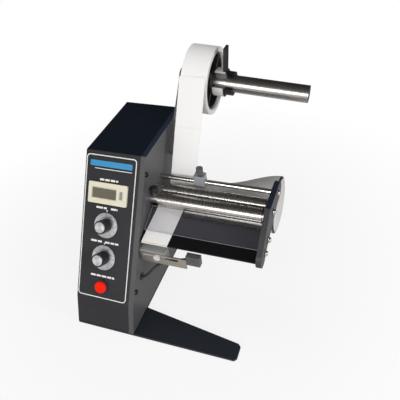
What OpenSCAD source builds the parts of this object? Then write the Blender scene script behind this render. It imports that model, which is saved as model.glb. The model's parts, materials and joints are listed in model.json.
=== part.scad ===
// Bench label dispenser. X runs along the rollers, Y runs back, Z is up.
// The origin is on the table, where the front edge of the base meets the outer face of the side plate.

/* [Housing] */
// Width of the housing beside the thick side plate
body_w = 67; // [64:1:80]
// Thickness of the side plate that carries the label path
side_t = 6; // [5:0.5:9]
// Height of the housing's top above the table
body_h = 182; // [178:1:196]
// Depth of the housing at the table
base_depth = 212; // [206:1:230]
// Distance back from the front edge to the panel's top edge
crest_y = 106; // [100:1:112]
// Height of the apron below the control panel
apron_h = 34; // [30:1:38]
// Distance that the apron leans back over its height
apron_back = 13; // [10:1:16]
// Thickness of the bent sheet and the rear cover
sheet_t = 1.5; // [1:0.1:2.5]
// Thickness of the left plate
left_t = 2; // [1.5:0.5:3]
// Thickness of the base plate and its foot
base_t = 3; // [2:0.5:5]
// Reach of the foot beyond the side plate
foot_reach = 124; // [100:1:150]
// Width of the foot where it leaves the housing
foot_root = 40; // [30:1:60]
// Width of the foot at its tip
foot_tip = 21; // [14:1:28]

/* [Control panel] */
// Distance of the controls' centre line from the panel's left edge
control_u = 31; // [29:0.5:33]
// Width of the counter's bezel
counter_w = 48; // [44:1:52]
// Height of the counter's bezel
counter_h = 24; // [20:1:26]
// Height of the counter's centre up the panel
counter_v = 125.5; // [124:0.5:130]
// Depth of the counter's case behind the panel
counter_depth = 22; // [16:1:24]
// Height of the length dial's centre up the panel
length_v = 89; // [87:0.5:92]
// Height of the speed dial's centre up the panel
speed_v = 51; // [49:0.5:54]
// Diameter of a dial plate
dial_d = 29; // [26:0.5:32]
// Diameter of a knob
knob_d = 15.4; // [14:0.2:18]
// Height of a knob above the panel
knob_h = 14.5; // [12:0.5:18]
// Diameter of the bright cap on a knob
knob_cap_d = 12; // [9:0.5:13]
// Diameter of a potentiometer's shaft
pot_shaft_d = 6; // [4:0.5:6.5]
// Height of the power button's centre up the panel
power_v = 16; // [14:0.5:18]
// Diameter of the power button's well
power_d = 15; // [11:0.5:16]
// Push travel of the power button
power_travel = 2; // [1:0.5:2.5]

/* [Label path] */
// Clear width between the side plate and the outer plate
span = 133; // [125:1:145]
// Thickness of the outer plate
outer_t = 6; // [4:0.5:8]
// Width of the outer plate's arm
outer_w = 23; // [21:0.5:26]
// Distance back from the front edge to the press roller's axis
press_y = 102; // [100:0.5:104]
// Height of the press roller's axis
press_z = 128; // [127:0.5:130]
// Diameter of the press roller and of the guide roller
roller_d = 16; // [14:0.5:17]
// Gap between the press roller and the guide roller
roller_gap = 1; // [0.6:0.1:1.5]
// Diameter of the two rollers' fixed axles
axle_d = 8; // [6:0.5:9]
// Diameter of the guide rod
rod_d = 6; // [5:0.5:8]
// Distance of the guide rod behind the guide roller's axis
rod_back = 13; // [12.5:0.5:15]
// Height of the guide rod above the guide roller's axis
rod_up = 9; // [8:0.5:11]
// Thickness of the peel plate
peel_t = 2; // [1.5:0.25:3]
// Distance back from the front edge to the peel edge
peel_y = 57; // [54:0.5:59]
// Height of the peel edge
peel_z = 101.5; // [100:0.5:103]
// Thickness of the clear press plate
press_t = 2; // [1.5:0.25:3]
// Length of the clear press plate down the slope
press_len = 31; // [27:0.5:33]
// Diameter of the rubber drive roller
drive_d = 22; // [20:0.5:23]
// Diameter of the drive shaft and the take-up shaft
shaft_d = 10; // [8:0.5:11]
// Diameter of the pinch roller
pinch_d = 14; // [12:0.5:15]

/* [Labels] */
// Width of the label web
label_w = 31; // [20:1:34]
// Left edge of the web at the peel edge
web_x = 2; // [1:0.25:3]
// Thickness of the web
web_t = 0.3; // [0.2:0.05:0.4]
// Outer diameter of the label roll
roll_d = 79.5; // [76:0.5:110]
// Inner diameter of the roll's card core
core_d = 68; // [60:1:70]

/* [Roll holder] */
// Diameter of the roll tube
tube_d = 20; // [16:0.5:24]
// Length of the roll tube beyond the support arm
tube_len = 148; // [130:1:170]
// Wall thickness of the roll tube
tube_wall = 1.5; // [1:0.1:2.5]
// Angle by which the tube leans down towards its free end
tube_droop = 3.5; // [0:0.5:4]
// Distance back from the front edge to the roll tube
tube_y = 228.5; // [224:0.5:232]
// Height of the roll tube's fixed end
tube_z = 215; // [210:0.5:220]
// Thickness of the support arm
arm_t = 5; // [4:0.5:7]
// Width of the support arm
arm_w = 19; // [18:0.5:26]

/* [Take-up] */
// Distance back from the front edge to the take-up shaft
take_y = 178; // [176:1:182]
// Height of the take-up shaft
take_z = 78; // [76:1:80]
// Diameter of the drum's sleeve
sleeve_d = 34; // [28:1:36]
// Largest diameter of the drum's bell
bell_d = 72; // [60:1:74]
// Distance of the bell's widest ring from the side plate
bell_x = 131; // [120:1:134]
// Wall thickness of the drum's bell
bell_wall = 2.5; // [2:0.25:4]
// Diameter of the drive pulley under the belt
drive_pulley_d = 20; // [18:0.5:22]
// Diameter of the take-up pulley under the belt
take_pulley_d = 28; // [24:0.5:30]
// Width of the flat belt
belt_w = 5; // [4:0.5:6]
// Thickness of the flat belt
belt_t = 1.5; // [1:0.1:2]

/* [Sensor] */
// Height of the sensor bracket
bracket_h = 14; // [12:0.5:16]
// Length of the sensor bracket
bracket_len = 55; // [50:1:60]
// Thickness of the sensor bracket
bracket_t = 1.5; // [1:0.1:2]
// Length of the slot in the sensor bracket
slot_len = 44; // [40:1:46]
// Width of the slot in the sensor bracket
slot_w = 3.4; // [3.2:0.1:4]
// Diameter of the sensor cable
cable_d = 3; // [2:0.25:3.5]

/* [Hidden] */
$fn = 64;

// Shared clearances: a running fit, the space between pieces that move apart, a loose fit, and the
// overrun of a cut
run = 0.05;
air = 0.3;
fit = 0.15;
cut = 1;

// The screws that hold the plates
screw_r = 1.5;
head_r = 3;
head_t = 2;
washer_r = 4;
washer_t = 0.8;

// The housing's outline in Y and Z
wall_x = -side_t;
left_x = -side_t - body_w;
inner_w = body_w - left_t;
bend = [apron_back, base_t + apron_h];
top_front = [crest_y, body_h];
top_back = [base_depth, body_h];
panel_run = top_front - bend;
lean = atan2(panel_run[0], panel_run[1]);
outline = [[0, base_t], bend, top_front, top_back, [base_depth, base_t]];

// Axes of the label path, each as a point in Y and Z
web_clear = 0.35;
nip = 2 * web_clear + web_t;
link_left_t = 9.5;
link_right_t = 3;
end_play = 0.5;
bend_back = 1;
drive_back = 16;
drive_drop = 3.4;
pinch_slack = 0.1;
pivot_back = 22;
pivot_drop = 14;
press_c = [press_y, press_z];
guide_c = press_c + [roller_d + roller_gap, 0];
rod_c = guide_c + [rod_back, rod_up];
plate_top = press_z - roller_d / 2 - nip;
plate_back = guide_c[0] + roller_d / 2;
bend_c = [press_y + bend_back, plate_top - peel_t / 2];
peel_c = [peel_y + peel_t / 2, peel_z - peel_t / 2];
slope_run = bend_c - peel_c;
slope_len = norm(slope_run);
slope = atan2(slope_run[1], slope_run[0]);
drive_c = [press_y + drive_back, plate_top - peel_t - drive_drop - drive_d / 2];
pinch_c = drive_c - [0, (drive_d + pinch_d) / 2 + nip + pinch_slack];
pivot_c = pinch_c + [pivot_back, -pivot_drop];
take_c = [take_y, take_z];
tube_c = [tube_y, tube_z];

// The web runs a little askew: its left edge moves out from the peel edge back to the guide rod, and
// runs straight from there to the roll
path_skew = 0.13;
function web_left(y) = web_x + path_skew * (min(y, rod_c[0]) - peel_y);
roll_x = web_left(rod_c[0]);

// A plate or bar: a shape drawn in Y and Z, from x0 over the length len
module along(x0, len) {
  translate([x0, 0, 0]) rotate([90, 0, 90]) linear_extrude(len) children();
}

// A round bar along X at the point c
module rod_x(c, x0, len, r) {
  translate([x0, c[0], c[1]]) rotate([0, 90, 0]) cylinder(h = len, r = r);
}

// A ring along X at the point c
module ring_x(c, x0, len, r, bore) {
  difference() {
    rod_x(c, x0, len, r);
    rod_x(c, x0 - cut, len + 2 * cut, bore);
  }
}

// A round-ended bar between two points. Its straight sides lie a hair inside its ends' rims, so that
// they cross them cleanly
side_in = 0.02;
module bar2d(a, b, w) {
  d = b - a;
  half = w / 2 - side_in;
  translate(a) circle(d = w);
  translate(b) circle(d = w);
  translate(a) rotate(atan2(d[1], d[0])) translate([0, -half]) square([norm(d), 2 * half]);
}

// A rectangle with round corners, centred
module round_rect(w, h, r) {
  square([w - 2 * r, h], center = true);
  square([w, h - 2 * r], center = true);
  for (x = [-1, 1], y = [-1, 1]) translate([x * (w / 2 - r), y * (h / 2 - r)]) circle(r = r);
}

// The panel's own frame: u from its left edge, v up from its lower bend, and Z out of the panel
module on_panel(u, v) {
  translate([left_x + u, bend[0], bend[1]])
    rotate([90 - lean, 0, 0]) translate([0, v, 0]) children();
}

// The peel plate's own frame: s up the slope from the peel edge, and Z off the plate's middle
module on_slope(x, s) {
  translate([x, peel_c[0], peel_c[1]]) rotate([slope, 0, 0]) translate([0, s, 0]) children();
}

// The roll tube's own frame: X along the leaning tube, from the support arm's outer face
module on_tube(s) {
  translate([arm_t, tube_c[0], tube_c[1]]) rotate([0, tube_droop, 0]) translate([s, 0, 0]) children();
}

// Housing

foot_r = 3;

module base_plate() {
  color([0.16, 0.17, 0.18]) linear_extrude(base_t) {
    translate([left_x, 0]) square([-left_x, base_depth]);
    polygon([[0, 0], [foot_reach - foot_r, 0], [foot_reach, foot_r], [foot_reach, foot_tip - foot_r],
             [foot_reach - foot_r, foot_tip], [0, foot_root]]);
  }
}

apron_gap = 1;

// The bent sheet that makes the apron, the control panel and the top
module body_wrap() {
  drop = [0, apron_gap];
  back = [sheet_t / cos(lean), 0];
  color([0.19, 0.19, 0.21]) difference() {
    along(left_x + left_t, inner_w) polygon([
      outline[0] + drop, bend, top_front, top_back,
      top_back - [0, sheet_t],
      top_front + [sheet_t * tan((90 - lean) / 2), -sheet_t],
      bend + back,
      outline[0] + drop + back
    ]);
    on_panel(control_u, counter_v)
      cube([counter_w - 2 * counter_lip + 2 * fit, counter_h - 2 * counter_lip + 2 * fit, 4 * sheet_t],
           center = true);
    for (v = [length_v, speed_v])
      on_panel(control_u, v) cylinder(h = 4 * sheet_t, r = bush_r + fit, center = true);
    on_panel(control_u, power_v) cylinder(h = 4 * sheet_t, d = power_d + 2 * fit, center = true);
  }
}

module left_plate() {
  color([0.17, 0.17, 0.19]) along(left_x, left_t) polygon(outline);
}

gland_y = 45;
gland_z = 55;
gland_c = [gland_y, gland_z];
gland_r = 3;
bearing_r = 9.5;

// Places of the screws that hold the side plate: two beside the panel and two at the back
case_in = 4.5;
case_low = 12.5;
case_top = 18.5;
case_back_in = 9;
case_back_low = 14;
case_back_top = 33;
function beside_panel(rise) = bend + [rise * tan(lean) + case_in, rise];
case_screws = [beside_panel(case_low), beside_panel(panel_run[1] - case_top),
               [base_depth - case_back_in, base_t + case_back_low],
               [base_depth - case_back_in, body_h - case_back_top]];

module side_plate() {
  through = side_t + 2 * cut;
  color([0.2, 0.2, 0.22]) difference() {
    along(wall_x, side_t) polygon(outline);
    for (c = [drive_c, take_c]) rod_x(c, wall_x - cut, through, bearing_r);
    for (c = [press_c, guide_c]) rod_x(c, wall_x - cut, through, axle_d / 2);
    rod_x(rod_c, wall_x - cut, through, rod_d / 2);
    rod_x(pivot_c, wall_x - cut, through, pivot_r);
    rod_x(gland_c, wall_x - cut, through, gland_r);
    for (c = case_screws) rod_x(c, wall_x - cut, through, screw_r + fit);
  }
}

vent_count = 9;
vent_w = 36;
vent_h = 2.6;
vent_pitch = 6;
vent_down = 82;
cord_r = 3.6;
cord_z = 26;
cord_nut_r = 8;
cord_nut_t = 5;
cord_body_r = 5.5;
cord_nose = 7;
cord_x = left_x + body_w / 2;

module rear_cover() {
  color([0.17, 0.17, 0.19]) difference() {
    translate([left_x + left_t, base_depth - sheet_t, base_t])
      cube([inner_w, sheet_t, body_h - base_t - sheet_t]);
    for (i = [0 : vent_count - 1])
      translate([left_x + left_t + (inner_w - vent_w) / 2, base_depth - sheet_t - cut,
                 body_h - vent_down + i * vent_pitch])
        cube([vent_w, sheet_t + 2 * cut, vent_h]);
    translate([cord_x, base_depth + cut, cord_z]) rotate([90, 0, 0])
      cylinder(h = sheet_t + 2 * cut, r = cord_body_r + run);
  }
}

// The empty gland where a mains cord enters
module cord_gland() {
  color([0.1, 0.1, 0.1]) translate([cord_x, base_depth, cord_z]) rotate([-90, 0, 0])
    difference() {
      union() {
        cylinder(h = cord_nut_t, r = cord_nut_r, $fn = 6);
        cylinder(h = cord_nut_t + cord_nose, r = cord_body_r);
        translate([0, 0, -sheet_t - cord_nut_t]) cylinder(h = cord_nut_t, r = cord_nut_r, $fn = 6);
        translate([0, 0, -sheet_t - cut]) cylinder(h = sheet_t + 2 * cut, r = cord_body_r);
      }
      translate([0, 0, -sheet_t - cord_nut_t - cut])
        cylinder(h = 2 * cord_nut_t + sheet_t + cord_nose + 2 * cut, r = cord_r);
    }
}

// Controls on the panel

counter_lip = 1.5;
bezel_t = 2.5;
window_w = 30;
window_h = 11.5;
window_t = 0.8;
window_left = 3.8;
reset_w = 3.2;
reset_h = 9;
reset_t = 2;
reset_right = 17;
reset_proud = 0.6;
reset_travel = 0.8;

module counter_case() {
  well_h = 2 * (reset_t + reset_travel + air);
  color([0.88, 0.86, 0.78]) on_panel(control_u, counter_v) difference() {
    union() {
      linear_extrude(bezel_t) round_rect(counter_w, counter_h, counter_lip);
      translate([0, 0, -counter_depth / 2])
        cube([counter_w - 2 * counter_lip, counter_h - 2 * counter_lip, counter_depth], center = true);
    }
    translate([-window_left, 0, bezel_t]) cube([window_w, window_h, 2 * window_t], center = true);
    translate([reset_right, 0, bezel_t])
      cube([reset_w + 2 * run, reset_h + 2 * run, well_h], center = true);
  }
}

module counter_window() {
  color([0.52, 0.54, 0.42]) on_panel(control_u, counter_v)
    translate([-window_left - window_w / 2, -window_h / 2, bezel_t - window_t])
      cube([window_w, window_h, window_t]);
}

module counter_reset() {
  color([0.75, 0.72, 0.62]) on_panel(control_u, counter_v)
    translate([reset_right - reset_w / 2, -reset_h / 2, bezel_t - reset_t])
      cube([reset_w, reset_h, reset_t + reset_proud]);
}

bush_r = 3.8;
pot_nut_r = 5.2;
pot_nut_t = 2;
pot_r = 8;
pot_t = 9;
pot_floor = 1;
dial_t = 0.8;
knob_cap_t = 0.8;
knob_web = 1;
flute_count = 18;
flute_r = 0.7;

module dial_plates() {
  color([0.78, 0.79, 0.8]) for (v = [length_v, speed_v]) on_panel(control_u, v) difference() {
    cylinder(h = dial_t, d = dial_d);
    translate([0, 0, -cut]) cylinder(h = dial_t + 2 * cut, r = bush_r + fit);
  }
}

// The two potentiometers with their threaded bushes and nuts
module potentiometers() {
  color([0.45, 0.46, 0.44]) for (v = [length_v, speed_v]) on_panel(control_u, v) difference() {
    union() {
      translate([0, 0, -sheet_t - pot_t]) cylinder(h = pot_t, r = pot_r);
      translate([0, 0, -sheet_t - cut]) cylinder(h = sheet_t + dial_t + pot_nut_t + cut, r = bush_r);
      translate([0, 0, dial_t]) cylinder(h = pot_nut_t, r = pot_nut_r, $fn = 6);
    }
    translate([0, 0, -sheet_t - pot_t + pot_floor])
      cylinder(h = pot_t + sheet_t + dial_t + pot_nut_t, r = pot_shaft_d / 2 + run);
  }
}

// A potentiometer's shaft, from inside its body into the knob
module pot_shaft(v) {
  low = -sheet_t - pot_t + pot_floor + air;
  color([0.7, 0.7, 0.7]) on_panel(control_u, v)
    translate([0, 0, low]) cylinder(h = knob_h - knob_cap_t - knob_web - low, r = pot_shaft_d / 2);
}

module length_shaft() { pot_shaft(length_v); }
module speed_shaft() { pot_shaft(speed_v); }

// A fluted knob, hollow over the nut below it, with its shaft's bore
module knob(v) {
  foot = dial_t + air;
  top = knob_h - knob_cap_t;
  color([0.1, 0.1, 0.11]) on_panel(control_u, v) difference() {
    translate([0, 0, foot]) cylinder(h = top - foot, d = knob_d);
    translate([0, 0, foot - cut]) cylinder(h = pot_nut_t + air + cut, r = pot_nut_r + air);
    cylinder(h = top - knob_web, r = pot_shaft_d / 2);
    for (i = [0 : flute_count - 1]) rotate(i * 360 / flute_count)
      translate([knob_d / 2 + flute_r / 3, 0, foot - cut]) cylinder(h = knob_h, r = flute_r, $fn = 16);
  }
}

module knob_cap(v) {
  color([0.85, 0.86, 0.87]) on_panel(control_u, v)
    translate([0, 0, knob_h - knob_cap_t]) cylinder(h = knob_cap_t, d = knob_cap_d);
}

module length_knob() { knob(length_v); }
module speed_knob() { knob(speed_v); }
module length_cap() { knob_cap(length_v); }
module speed_cap() { knob_cap(speed_v); }

power_rim_t = 1.5;
power_rim_w = 1;
power_wall = 0.6;
power_rise = 4.5;
power_dome = 1.2;
power_deep = 10;
power_len = 24;
power_r = power_d / 2 - power_wall;

module power_switch() {
  color([0.08, 0.08, 0.08]) on_panel(control_u, power_v) difference() {
    union() {
      cylinder(h = power_rim_t, r = power_d / 2 + power_rim_w);
      translate([0, 0, -sheet_t - power_len]) cylinder(h = power_len, r = power_d / 2 + power_rim_w);
      translate([0, 0, -sheet_t - cut]) cylinder(h = sheet_t + cut + power_rim_t, d = power_d);
    }
    translate([0, 0, -power_deep]) cylinder(h = power_deep + power_rim_t + cut, r = power_r + run);
  }
}

// The lit push button: a straight stem with a rounded top
module power_button() {
  foot = power_travel + air - power_deep;
  color([0.9, 0.08, 0.05]) on_panel(control_u, power_v) rotate_extrude()
    polygon([[0, foot], [power_r, foot], [power_r, power_rise - power_dome],
             [power_r - power_dome / 3, power_rise - power_dome / 3],
             [power_r - power_dome, power_rise], [0, power_rise]]);
}

// Drive

post_len = 16;
post_r = 3;
box_half = 19;
box_off = 7;
box_c = drive_c + [box_off, -box_off];
box_len = 24;
box_socket = 12;
motor_gap = 3;
motor_r = 17.5;
motor_len = inner_w - post_len - box_len - motor_gap;
box_x = wall_x - post_len;
shaft_tail = 10;
shaft_short = 5;
rubber_x = 8;
rubber_short = 3;
shaft_end = span - shaft_short;

// The gearbox stands off the side plate on three posts, clear of the belt, with its output shaft off
// its middle
module gearbox() {
  color([0.55, 0.56, 0.57]) difference() {
    union() {
      translate([box_x - box_len, box_c[0] - box_half, box_c[1] - box_half])
        cube([box_len, 2 * box_half, 2 * box_half]);
      for (p = [[-1, -1], [0, -1], [1, 1]])
        rod_x(box_c + p * (box_half - post_r), box_x, post_len, post_r);
    }
    rod_x(drive_c, box_x - box_socket, box_socket + cut, shaft_d / 2 + run);
  }
}

module motor() {
  color([0.35, 0.36, 0.38]) rod_x(box_c, box_x - box_len - motor_len, motor_len, motor_r);
}

module drive_shaft() {
  color([0.78, 0.78, 0.8]) rod_x(drive_c, box_x - shaft_tail, shaft_end - box_x + shaft_tail, shaft_d / 2);
}

module drive_rubber() {
  color([0.12, 0.12, 0.12])
    ring_x(drive_c, rubber_x, shaft_end - rubber_x - rubber_short, drive_d / 2, shaft_d / 2);
}

// The bearings in the side plate, one for each driven shaft
module shaft_bearings() {
  color([0.6, 0.6, 0.62]) for (c = [drive_c, take_c])
    ring_x(c, wall_x + air, side_t - 2 * air, bearing_r, shaft_d / 2 + run);
}

flange_t = 1.2;
flange_h = 1;
pulley_gap = 0.8;
pulley_w = belt_w + 2 * pulley_gap + 2 * flange_t;
pulley_off = 4;
pulley_x = wall_x - pulley_off - pulley_w;

// A flanged pulley for the flat belt
module pulley(c, d) {
  color([0.82, 0.82, 0.8]) translate([pulley_x, c[0], c[1]]) rotate([0, 90, 0]) rotate_extrude()
    difference() {
      translate([shaft_d / 2, 0]) square([d / 2 + belt_t + flange_h - shaft_d / 2, pulley_w]);
      translate([d / 2, flange_t]) square([d, pulley_w - 2 * flange_t]);
    }
}

module drive_pulley() { pulley(drive_c, drive_pulley_d); }
module take_up_pulley() { pulley(take_c, take_pulley_d); }

belt_steps = 24;

// The belt's closed outline round both pulleys, at a height off their belt faces
function belt_outline(height) =
  let(d = take_c - drive_c, near = drive_pulley_d / 2 + height, far = take_pulley_d / 2 + height,
      turn = atan2(d[1], d[0]), tilt = asin((far - near) / norm(d)))
  concat(
    [for (i = [0 : belt_steps]) let(w = turn + 90 + tilt + (180 - 2 * tilt) * i / belt_steps)
      drive_c + near * [cos(w), sin(w)]],
    [for (i = [0 : belt_steps]) let(w = turn - 90 - tilt + (180 + 2 * tilt) * i / belt_steps)
      take_c + far * [cos(w), sin(w)]]);

module drive_belt() {
  color([0.85, 0.45, 0.1]) along(pulley_x + flange_t + pulley_gap, belt_w) difference() {
    polygon(belt_outline(run + belt_t));
    polygon(belt_outline(run));
  }
}

// Pinch lever below the drive roller

pivot_r = 4;
pivot_head_t = 2;
lever_t = 5;
lever_w = 13;
lever_gap = 0.5;
lever_tail = 17;
tail_dip = 22;
pinch_axle_r = 3;
spring_wire = 1.2;
spring_pitch = 1.8;
spring_turns = 4;
spring_rings = 8;
spring_sides = 6;
spring_r = pivot_r + spring_wire / 2 + air;
spring_x = lever_gap + lever_t + air + spring_wire / 2;
pivot_head_x = spring_x + spring_turns * spring_pitch + 2 * spring_wire;
pivot_head_r = spring_r + 2 * spring_wire;

module pinch_lever() {
  color([0.6, 0.61, 0.62]) difference() {
    union() {
      along(lever_gap, lever_t) {
        bar2d(pinch_c, pivot_c, lever_w);
        translate(pivot_c) rotate(-tail_dip) translate([lever_w / 4, -lever_w / 4])
          square([lever_tail, lever_w / 2]);
      }
      rod_x(pinch_c, lever_gap + lever_t - cut, shaft_end - lever_gap - lever_t + cut, pinch_axle_r);
    }
    rod_x(pivot_c, lever_gap - cut, lever_t + 2 * cut, pivot_r + run);
  }
}

module pinch_roller() {
  color([0.25, 0.25, 0.26])
    ring_x(pinch_c, rubber_x, shaft_end - rubber_x - rubber_short, pinch_d / 2, pinch_axle_r + run);
}

// A tube of radius r swept along the points p, with n sides
function unit(v) = v / norm(v);
function way(p, i) = unit(p[min(i + 1, len(p) - 1)] - p[max(i - 1, 0)]);
function first_side(t) = unit(cross(t, abs(t[0]) < 0.9 ? [1, 0, 0] : [0, 0, 1]));
function sides_to(p, i) =
  i == 0 ? [first_side(way(p, 0))]
         : let(before = sides_to(p, i - 1), t = way(p, i), b = before[i - 1])
           concat(before, [unit(b - (b * t) * t)]);
function tube_points(p, r, n) =
  let(sides = sides_to(p, len(p) - 1))
  [for (i = [0 : len(p) - 1], k = [0 : n - 1])
    let(t = way(p, i), a = sides[i], b = cross(t, a), w = 360 * k / n)
    p[i] + r * (cos(w) * a + sin(w) * b)];
function tube_faces(m, n) = concat(
  [for (i = [0 : m - 2], k = [0 : n - 1], h = [0, 1])
    let(a = i * n + k, b = i * n + (k + 1) % n)
    h == 0 ? [a, b, b + n] : [a, b + n, a + n]],
  [for (k = [1 : n - 2]) [0, k + 1, k]],
  [for (k = [1 : n - 2]) [(m - 1) * n, (m - 1) * n + k, (m - 1) * n + k + 1]]);

module swept_tube(p, r, n) {
  polyhedron(points = tube_points(p, r, n), faces = tube_faces(len(p), n), convexity = 6);
}

// The spring's curls round the pivot, a straight leg below them, and a bent leg into the pivot's head
spring_curls = [for (i = [0 : spring_turns * spring_rings])
  let(w = 360 * i / spring_rings)
  [spring_x + spring_pitch * i / spring_rings,
   pivot_c[0] + spring_r * cos(w), pivot_c[1] + spring_r * sin(w)]];
spring_last = spring_curls[len(spring_curls) - 1];
spring_points = concat(
  [spring_curls[0] - [0, 0, 4 * spring_wire], spring_curls[0] - [0, 0, 2 * spring_wire]],
  spring_curls,
  [spring_last + [0, 0, 2 * spring_wire],
   spring_last + [spring_wire, 0, 3 * spring_wire],
   spring_last + [2 * spring_wire, 0, 3 * spring_wire]]);
spring_gap = min([for (i = [0 : len(spring_curls) - 1], j = [0 : len(spring_curls) - 1])
  if (j - i >= spring_rings / 2) norm(spring_curls[j] - spring_curls[i])]) - spring_wire;
echo("least gap between the spring's curls", spring_gap);

module pinch_spring() {
  color([0.75, 0.75, 0.77]) swept_tube(spring_points, spring_wire / 2, spring_sides);
}

// Take-up drum

take_tail = 2;
sleeve_x = 6;
sleeve_end = 56;
drum_hub_end = 60;
dome_len = 4;
flare_steps = 12;
dome_steps = 8;
flare_shape = 1.6;

module take_up_shaft() {
  color([0.78, 0.78, 0.8])
    rod_x(take_c, pulley_x - take_tail, drum_hub_end - pulley_x + take_tail, shaft_d / 2);
}

// The drum's radius at the share t of its flare, and points of its flare and dome, inset by a wall
function flare_r(t) = sleeve_d / 2 + (bell_d - sleeve_d) / 2 * sin(90 * pow(t, flare_shape));
function flare(from, inset) = [for (i = [0 : flare_steps])
  let(x = from + (bell_x - from) * i / flare_steps)
  [flare_r((x - sleeve_end) / (bell_x - sleeve_end)) - inset, x]];
function dome(inset) = [for (i = [1 : dome_steps])
  let(w = 90 * i / dome_steps)
  [(bell_d / 2 - inset) * cos(w), bell_x + (dome_len - inset) * sin(w)]];
function backwards(p) = [for (i = [len(p) - 1 : -1 : 0]) p[i]];

// A hollow bell on a solid sleeve, closed by a flat dome
module take_up_drum() {
  color([0.8, 0.8, 0.81]) translate([0, take_c[0], take_c[1]]) rotate([0, 90, 0]) rotate_extrude()
    polygon(concat(
      [[shaft_d / 2, sleeve_x], [sleeve_d / 2, sleeve_x]],
      flare(sleeve_end, 0), dome(0),
      backwards(dome(bell_wall)), backwards(flare(drum_hub_end, bell_wall)),
      [[shaft_d / 2, drum_hub_end]]));
}

// Rollers, rod and plates

roller_x = link_left_t + end_play;
roller_len = span - roller_x - link_right_t - end_play;

module guide_rod() {
  color([0.85, 0.85, 0.86]) rod_x(rod_c, wall_x, side_t + span + outer_t, rod_d / 2);
}

module roller(c) {
  color([0.85, 0.85, 0.86]) ring_x(c, roller_x, roller_len, roller_d / 2, axle_d / 2 + run);
}

module guide_roller() { roller(guide_c); }
module press_roller() { roller(press_c); }

// The fixed steel axles: one for each roller, and the headed pin of the pinch lever
module fixed_axles() {
  color([0.8, 0.8, 0.82]) {
    for (c = [guide_c, press_c]) rod_x(c, wall_x, side_t + span, axle_d / 2);
    rod_x(pivot_c, wall_x, side_t + pivot_head_x, pivot_r);
    rod_x(pivot_c, pivot_head_x, pivot_head_t, pivot_head_r);
  }
}

link_w = 12;
stud_r = 2;
stud_len = 8;
stud_nut_r = 3.2;
stud_nut_t = 3;
link_c = (press_c + guide_c) / 2;
link_top = press_c[1] + link_w / 2;
stud_x = link_left_t / 2;

// The two links that hold the axles, the left one with a threaded stud and its nut above the press
// roller's axle
module roller_links() {
  color([0.8, 0.8, 0.8]) {
    along(0, link_left_t) difference() {
      bar2d(press_c, guide_c, link_w);
      for (c = [press_c, guide_c]) translate(c) circle(d = axle_d);
    }
    along(span - link_right_t, link_right_t) difference() {
      bar2d(press_c, guide_c, link_w);
      for (c = [press_c, guide_c]) translate(c) circle(d = axle_d);
      translate(link_c) circle(r = screw_r);
    }
    translate([stud_x, press_c[0], link_top - cut]) cylinder(h = stud_len + cut, r = stud_r);
    translate([stud_x, press_c[0], link_top]) cylinder(h = stud_nut_t, r = stud_nut_r, $fn = 6);
  }
}

pressure_r = 4.4;
pressure_h = 7;
pressure_edge = 1;

// The small black knob on the stud
module pressure_knob() {
  low = link_top + stud_nut_t + air;
  color([0.1, 0.1, 0.1]) translate([stud_x, press_c[0], low]) difference() {
    rotate_extrude() polygon([[0, 0], [pressure_r - pressure_edge, 0], [pressure_r, pressure_edge],
      [pressure_r, pressure_h - pressure_edge], [pressure_r - pressure_edge, pressure_h], [0, pressure_h]]);
    translate([0, 0, -cut]) cylinder(h = stud_len - stud_nut_t + cut, r = stud_r + run);
  }
}

// The outer plate's arm: from behind the rod, over the rollers, down to the peel edge
outer_behind = 7;
outer_below = 4;
outer_before = 3;
outer_above = 5;
nose_back = 7;
nose_up = 3;
outer_low_w = 15;
outer_back = rod_c + [outer_behind, -outer_below];
outer_mid = press_c + [-outer_before, outer_above];
outer_nose = peel_c + [nose_back, nose_up];

// The two bars under the peel plate, each with its place up the slope and its side
bar_front_s = 14;
bar_back_s = 30;
bar_front_w = 4;
bar_back_w = 5;
bars = [[bar_front_s, bar_front_w], [bar_back_s, bar_back_w]];

// The middle of a bar's end, in Y and Z
function bar_end(b) = peel_c + b[0] * [cos(slope), sin(slope)]
  + (peel_t + b[1]) / 2 * [sin(slope), -cos(slope)];

module outer_plate() {
  color([0.2, 0.2, 0.22]) difference() {
    along(span, outer_t) {
      bar2d(outer_back, outer_mid, outer_w);
      bar2d(outer_mid, outer_nose, outer_w);
      bar2d(outer_nose, outer_back, outer_low_w);
      polygon([outer_back, outer_mid, outer_nose]);
    }
    rod_x(rod_c, span - cut, outer_t + 2 * cut, rod_d / 2);
    for (c = [link_c, bar_end(bars[0]), bar_end(bars[1])])
      rod_x(c, span - cut, outer_t + 2 * cut, screw_r + fit);
  }
}

// Screws with washers on the outer plate, and the screws of the side plate
module plate_screws() {
  color([0.7, 0.7, 0.72]) {
    for (c = [rod_c, link_c, bar_end(bars[0]), bar_end(bars[1])]) {
      rod_x(c, span + outer_t, washer_t, washer_r);
      rod_x(c, span + outer_t + washer_t, head_t, head_r);
    }
    rod_x(link_c, span - link_right_t, link_right_t + outer_t + washer_t, screw_r);
    for (b = bars) rod_x(bar_end(b), span, outer_t + washer_t, screw_r);
    for (c = case_screws) {
      rod_x(c, 0, head_t, head_r);
      rod_x(c, wall_x, side_t + head_t, screw_r);
    }
  }
}

// The peel plate: flat below the rollers, then bent down to its round peel edge
module peel_plate() {
  color([0.14, 0.14, 0.16]) along(0, span) {
    bar2d(peel_c, bend_c, peel_t);
    translate([bend_c[0], bend_c[1] - peel_t / 2]) square([plate_back - bend_c[0], peel_t]);
  }
}

module cross_bars() {
  color([0.5, 0.5, 0.52]) for (b = bars)
    on_slope(0, b[0] - b[1] / 2) translate([0, 0, -peel_t / 2 - b[1]]) cube([span, b[1], b[1]]);
}

press_gap = 1.5;
press_behind = roller_d / 4;
press_bar_w = 7;
press_bar_t = 2;
press_bar_in = 1;
press_bar_gap = 3;
press_low = peel_t / 2 + nip;
press_s = slope_len - press_len - press_behind;

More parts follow.
